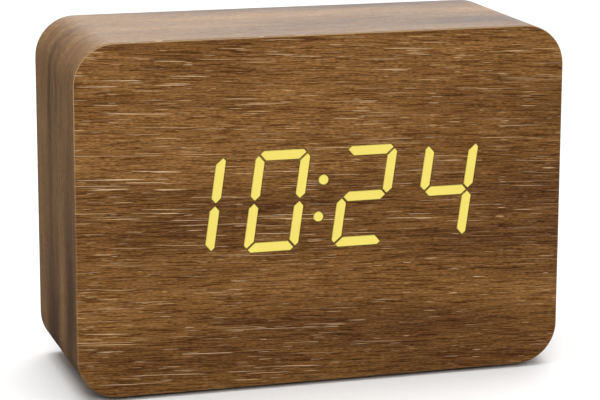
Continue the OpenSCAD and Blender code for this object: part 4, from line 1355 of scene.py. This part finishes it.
@dataclass
class Studio:
    """A pale floor, soft lamps, a bright backdrop and the camera where the photograph was taken.

    Attributes:
        floor_half: how far the floor reaches from the middle, in metres.
        floor_squares: how many squares it has each way.
        azimuth: the camera's way round the clock, in degrees, as are elevation and roll.
        distance: how far it is from its target, in metres.
        target: the point that it looks at, in metres.
        lens: its focal length on a sensor of that width, both in millimetres.
        clip: the nearest and the farthest that it sees, in metres.
        sky: how bright the surroundings are above the horizon.
        backdrop: how much brighter they are behind the clock.
        below: how bright they are under the horizon.
        horizon: where they change from below to above, by height.
        backdrop_depth: where the backdrop starts and is full, by depth.
        backdrop_side: where it starts and is full, from side to side.
        overhead: the strength of the ceiling.
        overhead_spread: how broad the ceiling is, in degrees.
        lamps: the soft lamps beside it.
    """

    floor_half: float = 4.0
    floor_squares: int = 8
    azimuth: float = -16.78
    elevation: float = 12.71
    roll: float = 0.169
    distance: float = 0.4991
    target: Triple = (0.00069, 0.0, 0.03363)
    lens: float = 146.15
    sensor: float = 36.0
    clip: tuple[float, float] = (0.01, 20.0)
    sky: float = 0.17
    backdrop: float = 1.58
    below: float = 0.03
    horizon: tuple[float, float] = (-0.03, 0.05)
    backdrop_depth: tuple[float, float] = (0.1, 0.8)
    backdrop_side: tuple[float, float] = (-0.16, 0.15)
    overhead: float = 2.58
    overhead_spread: float = 55.0
    lamps: list[SoftBox] = field(default_factory=lambda: [
        SoftBox("lamp_front", place=(-0.16, -0.62, 0.42), aim=(0.0, 0.0, 0.04), width=0.4, height=0.3,
                watts=2.08)])

    def build(self) -> list[str]:
        """Set up floor, backdrop, lamps and camera.

        Returns:
            One line for each of them.
        """
        scene = bpy.context.scene
        scene.view_settings.view_transform = "Standard"
        self.lay_floor()
        self.light_backdrop()
        self.light_ceiling()
        lines = [f"{lamp.build().name} hung" for lamp in self.lamps]
        scene.camera = self.place_camera()
        return ["floor laid", "backdrop lit", "ceiling lit", *lines, "camera placed"]

    def lay_floor(self) -> None:
        """Lay the floor under the pads."""
        bm = bmesh.new()
        bmesh.ops.create_grid(bm, x_segments=self.floor_squares, y_segments=self.floor_squares,
                              size=self.floor_half)
        floor = add_mesh("floor", bm, FLOOR)
        floor.visible_glossy = False

    def light_backdrop(self) -> None:
        """Make the surroundings bright behind the clock, plain above and dark below."""
        world = bpy.data.worlds.new("studio")
        world.use_nodes = True
        bpy.context.scene.world = world
        graph = Graph(world.node_tree)
        background = next(n for n in world.node_tree.nodes if n.type == "BACKGROUND")
        x, y, z = graph.split(graph.add("TexCoord").outputs["Generated"])
        above = graph.between(z, *self.horizon)
        behind = graph.times(graph.between(y, *self.backdrop_depth), graph.between(x, *self.backdrop_side))
        bright = graph.level(behind, self.backdrop, self.sky)
        lit = graph.level(above, bright, self.below)
        seen = graph.add("LightPath").outputs["Is Camera Ray"]
        graph.feed(background.inputs["Color"], WHITE)
        graph.feed(background.inputs["Strength"], graph.math("MAXIMUM", lit, seen))

    def light_ceiling(self) -> None:
        """Light floor and clock evenly from a broad ceiling."""
        lamp = bpy.data.lights.new("lamp_ceiling", "SUN")
        lamp.energy = self.overhead
        lamp.angle = math.radians(self.overhead_spread)
        bpy.context.scene.collection.objects.link(bpy.data.objects.new("lamp_ceiling", lamp))

    def place_camera(self) -> bpy.types.Object:
        """Set the camera where the photograph was taken.

        Returns:
            The camera.
        """
        a, e, r = (math.radians(v) for v in (self.azimuth, self.elevation, self.roll))
        back = Vector((math.sin(a) * math.cos(e), -math.cos(a) * math.cos(e), math.sin(e)))
        right = Vector((math.cos(a), math.sin(a), 0.0))
        up = back.cross(right)
        right, up = math.cos(r) * right + math.sin(r) * up, math.cos(r) * up - math.sin(r) * right
        data = bpy.data.cameras.new("camera")
        data.lens = self.lens
        data.sensor_width = self.sensor
        data.clip_start, data.clip_end = self.clip
        camera = bpy.data.objects.new("camera", data)
        camera.matrix_world = Matrix((right, up, back)).transposed().to_4x4()
        camera.location = Vector(self.target) + back * self.distance
        bpy.context.scene.collection.objects.link(camera)
        return camera


def main() -> None:
    """Build and dress the clock, piece by piece, and set up the studio."""
    logging.basicConfig(level=logging.INFO, format="%(name)s: %(message)s")
    for assembly in (Case(), TimeDisplay(), MainBoard(), Aerial(), ControlBoard(), PowerInlet(), Battery(),
                     BackCover(), Controls()):
        for line in assembly.dress() + assembly.build():
            LOG.info(line)
    for line in Studio().build():
        LOG.info(line)


if __name__ == "__main__":
    main()
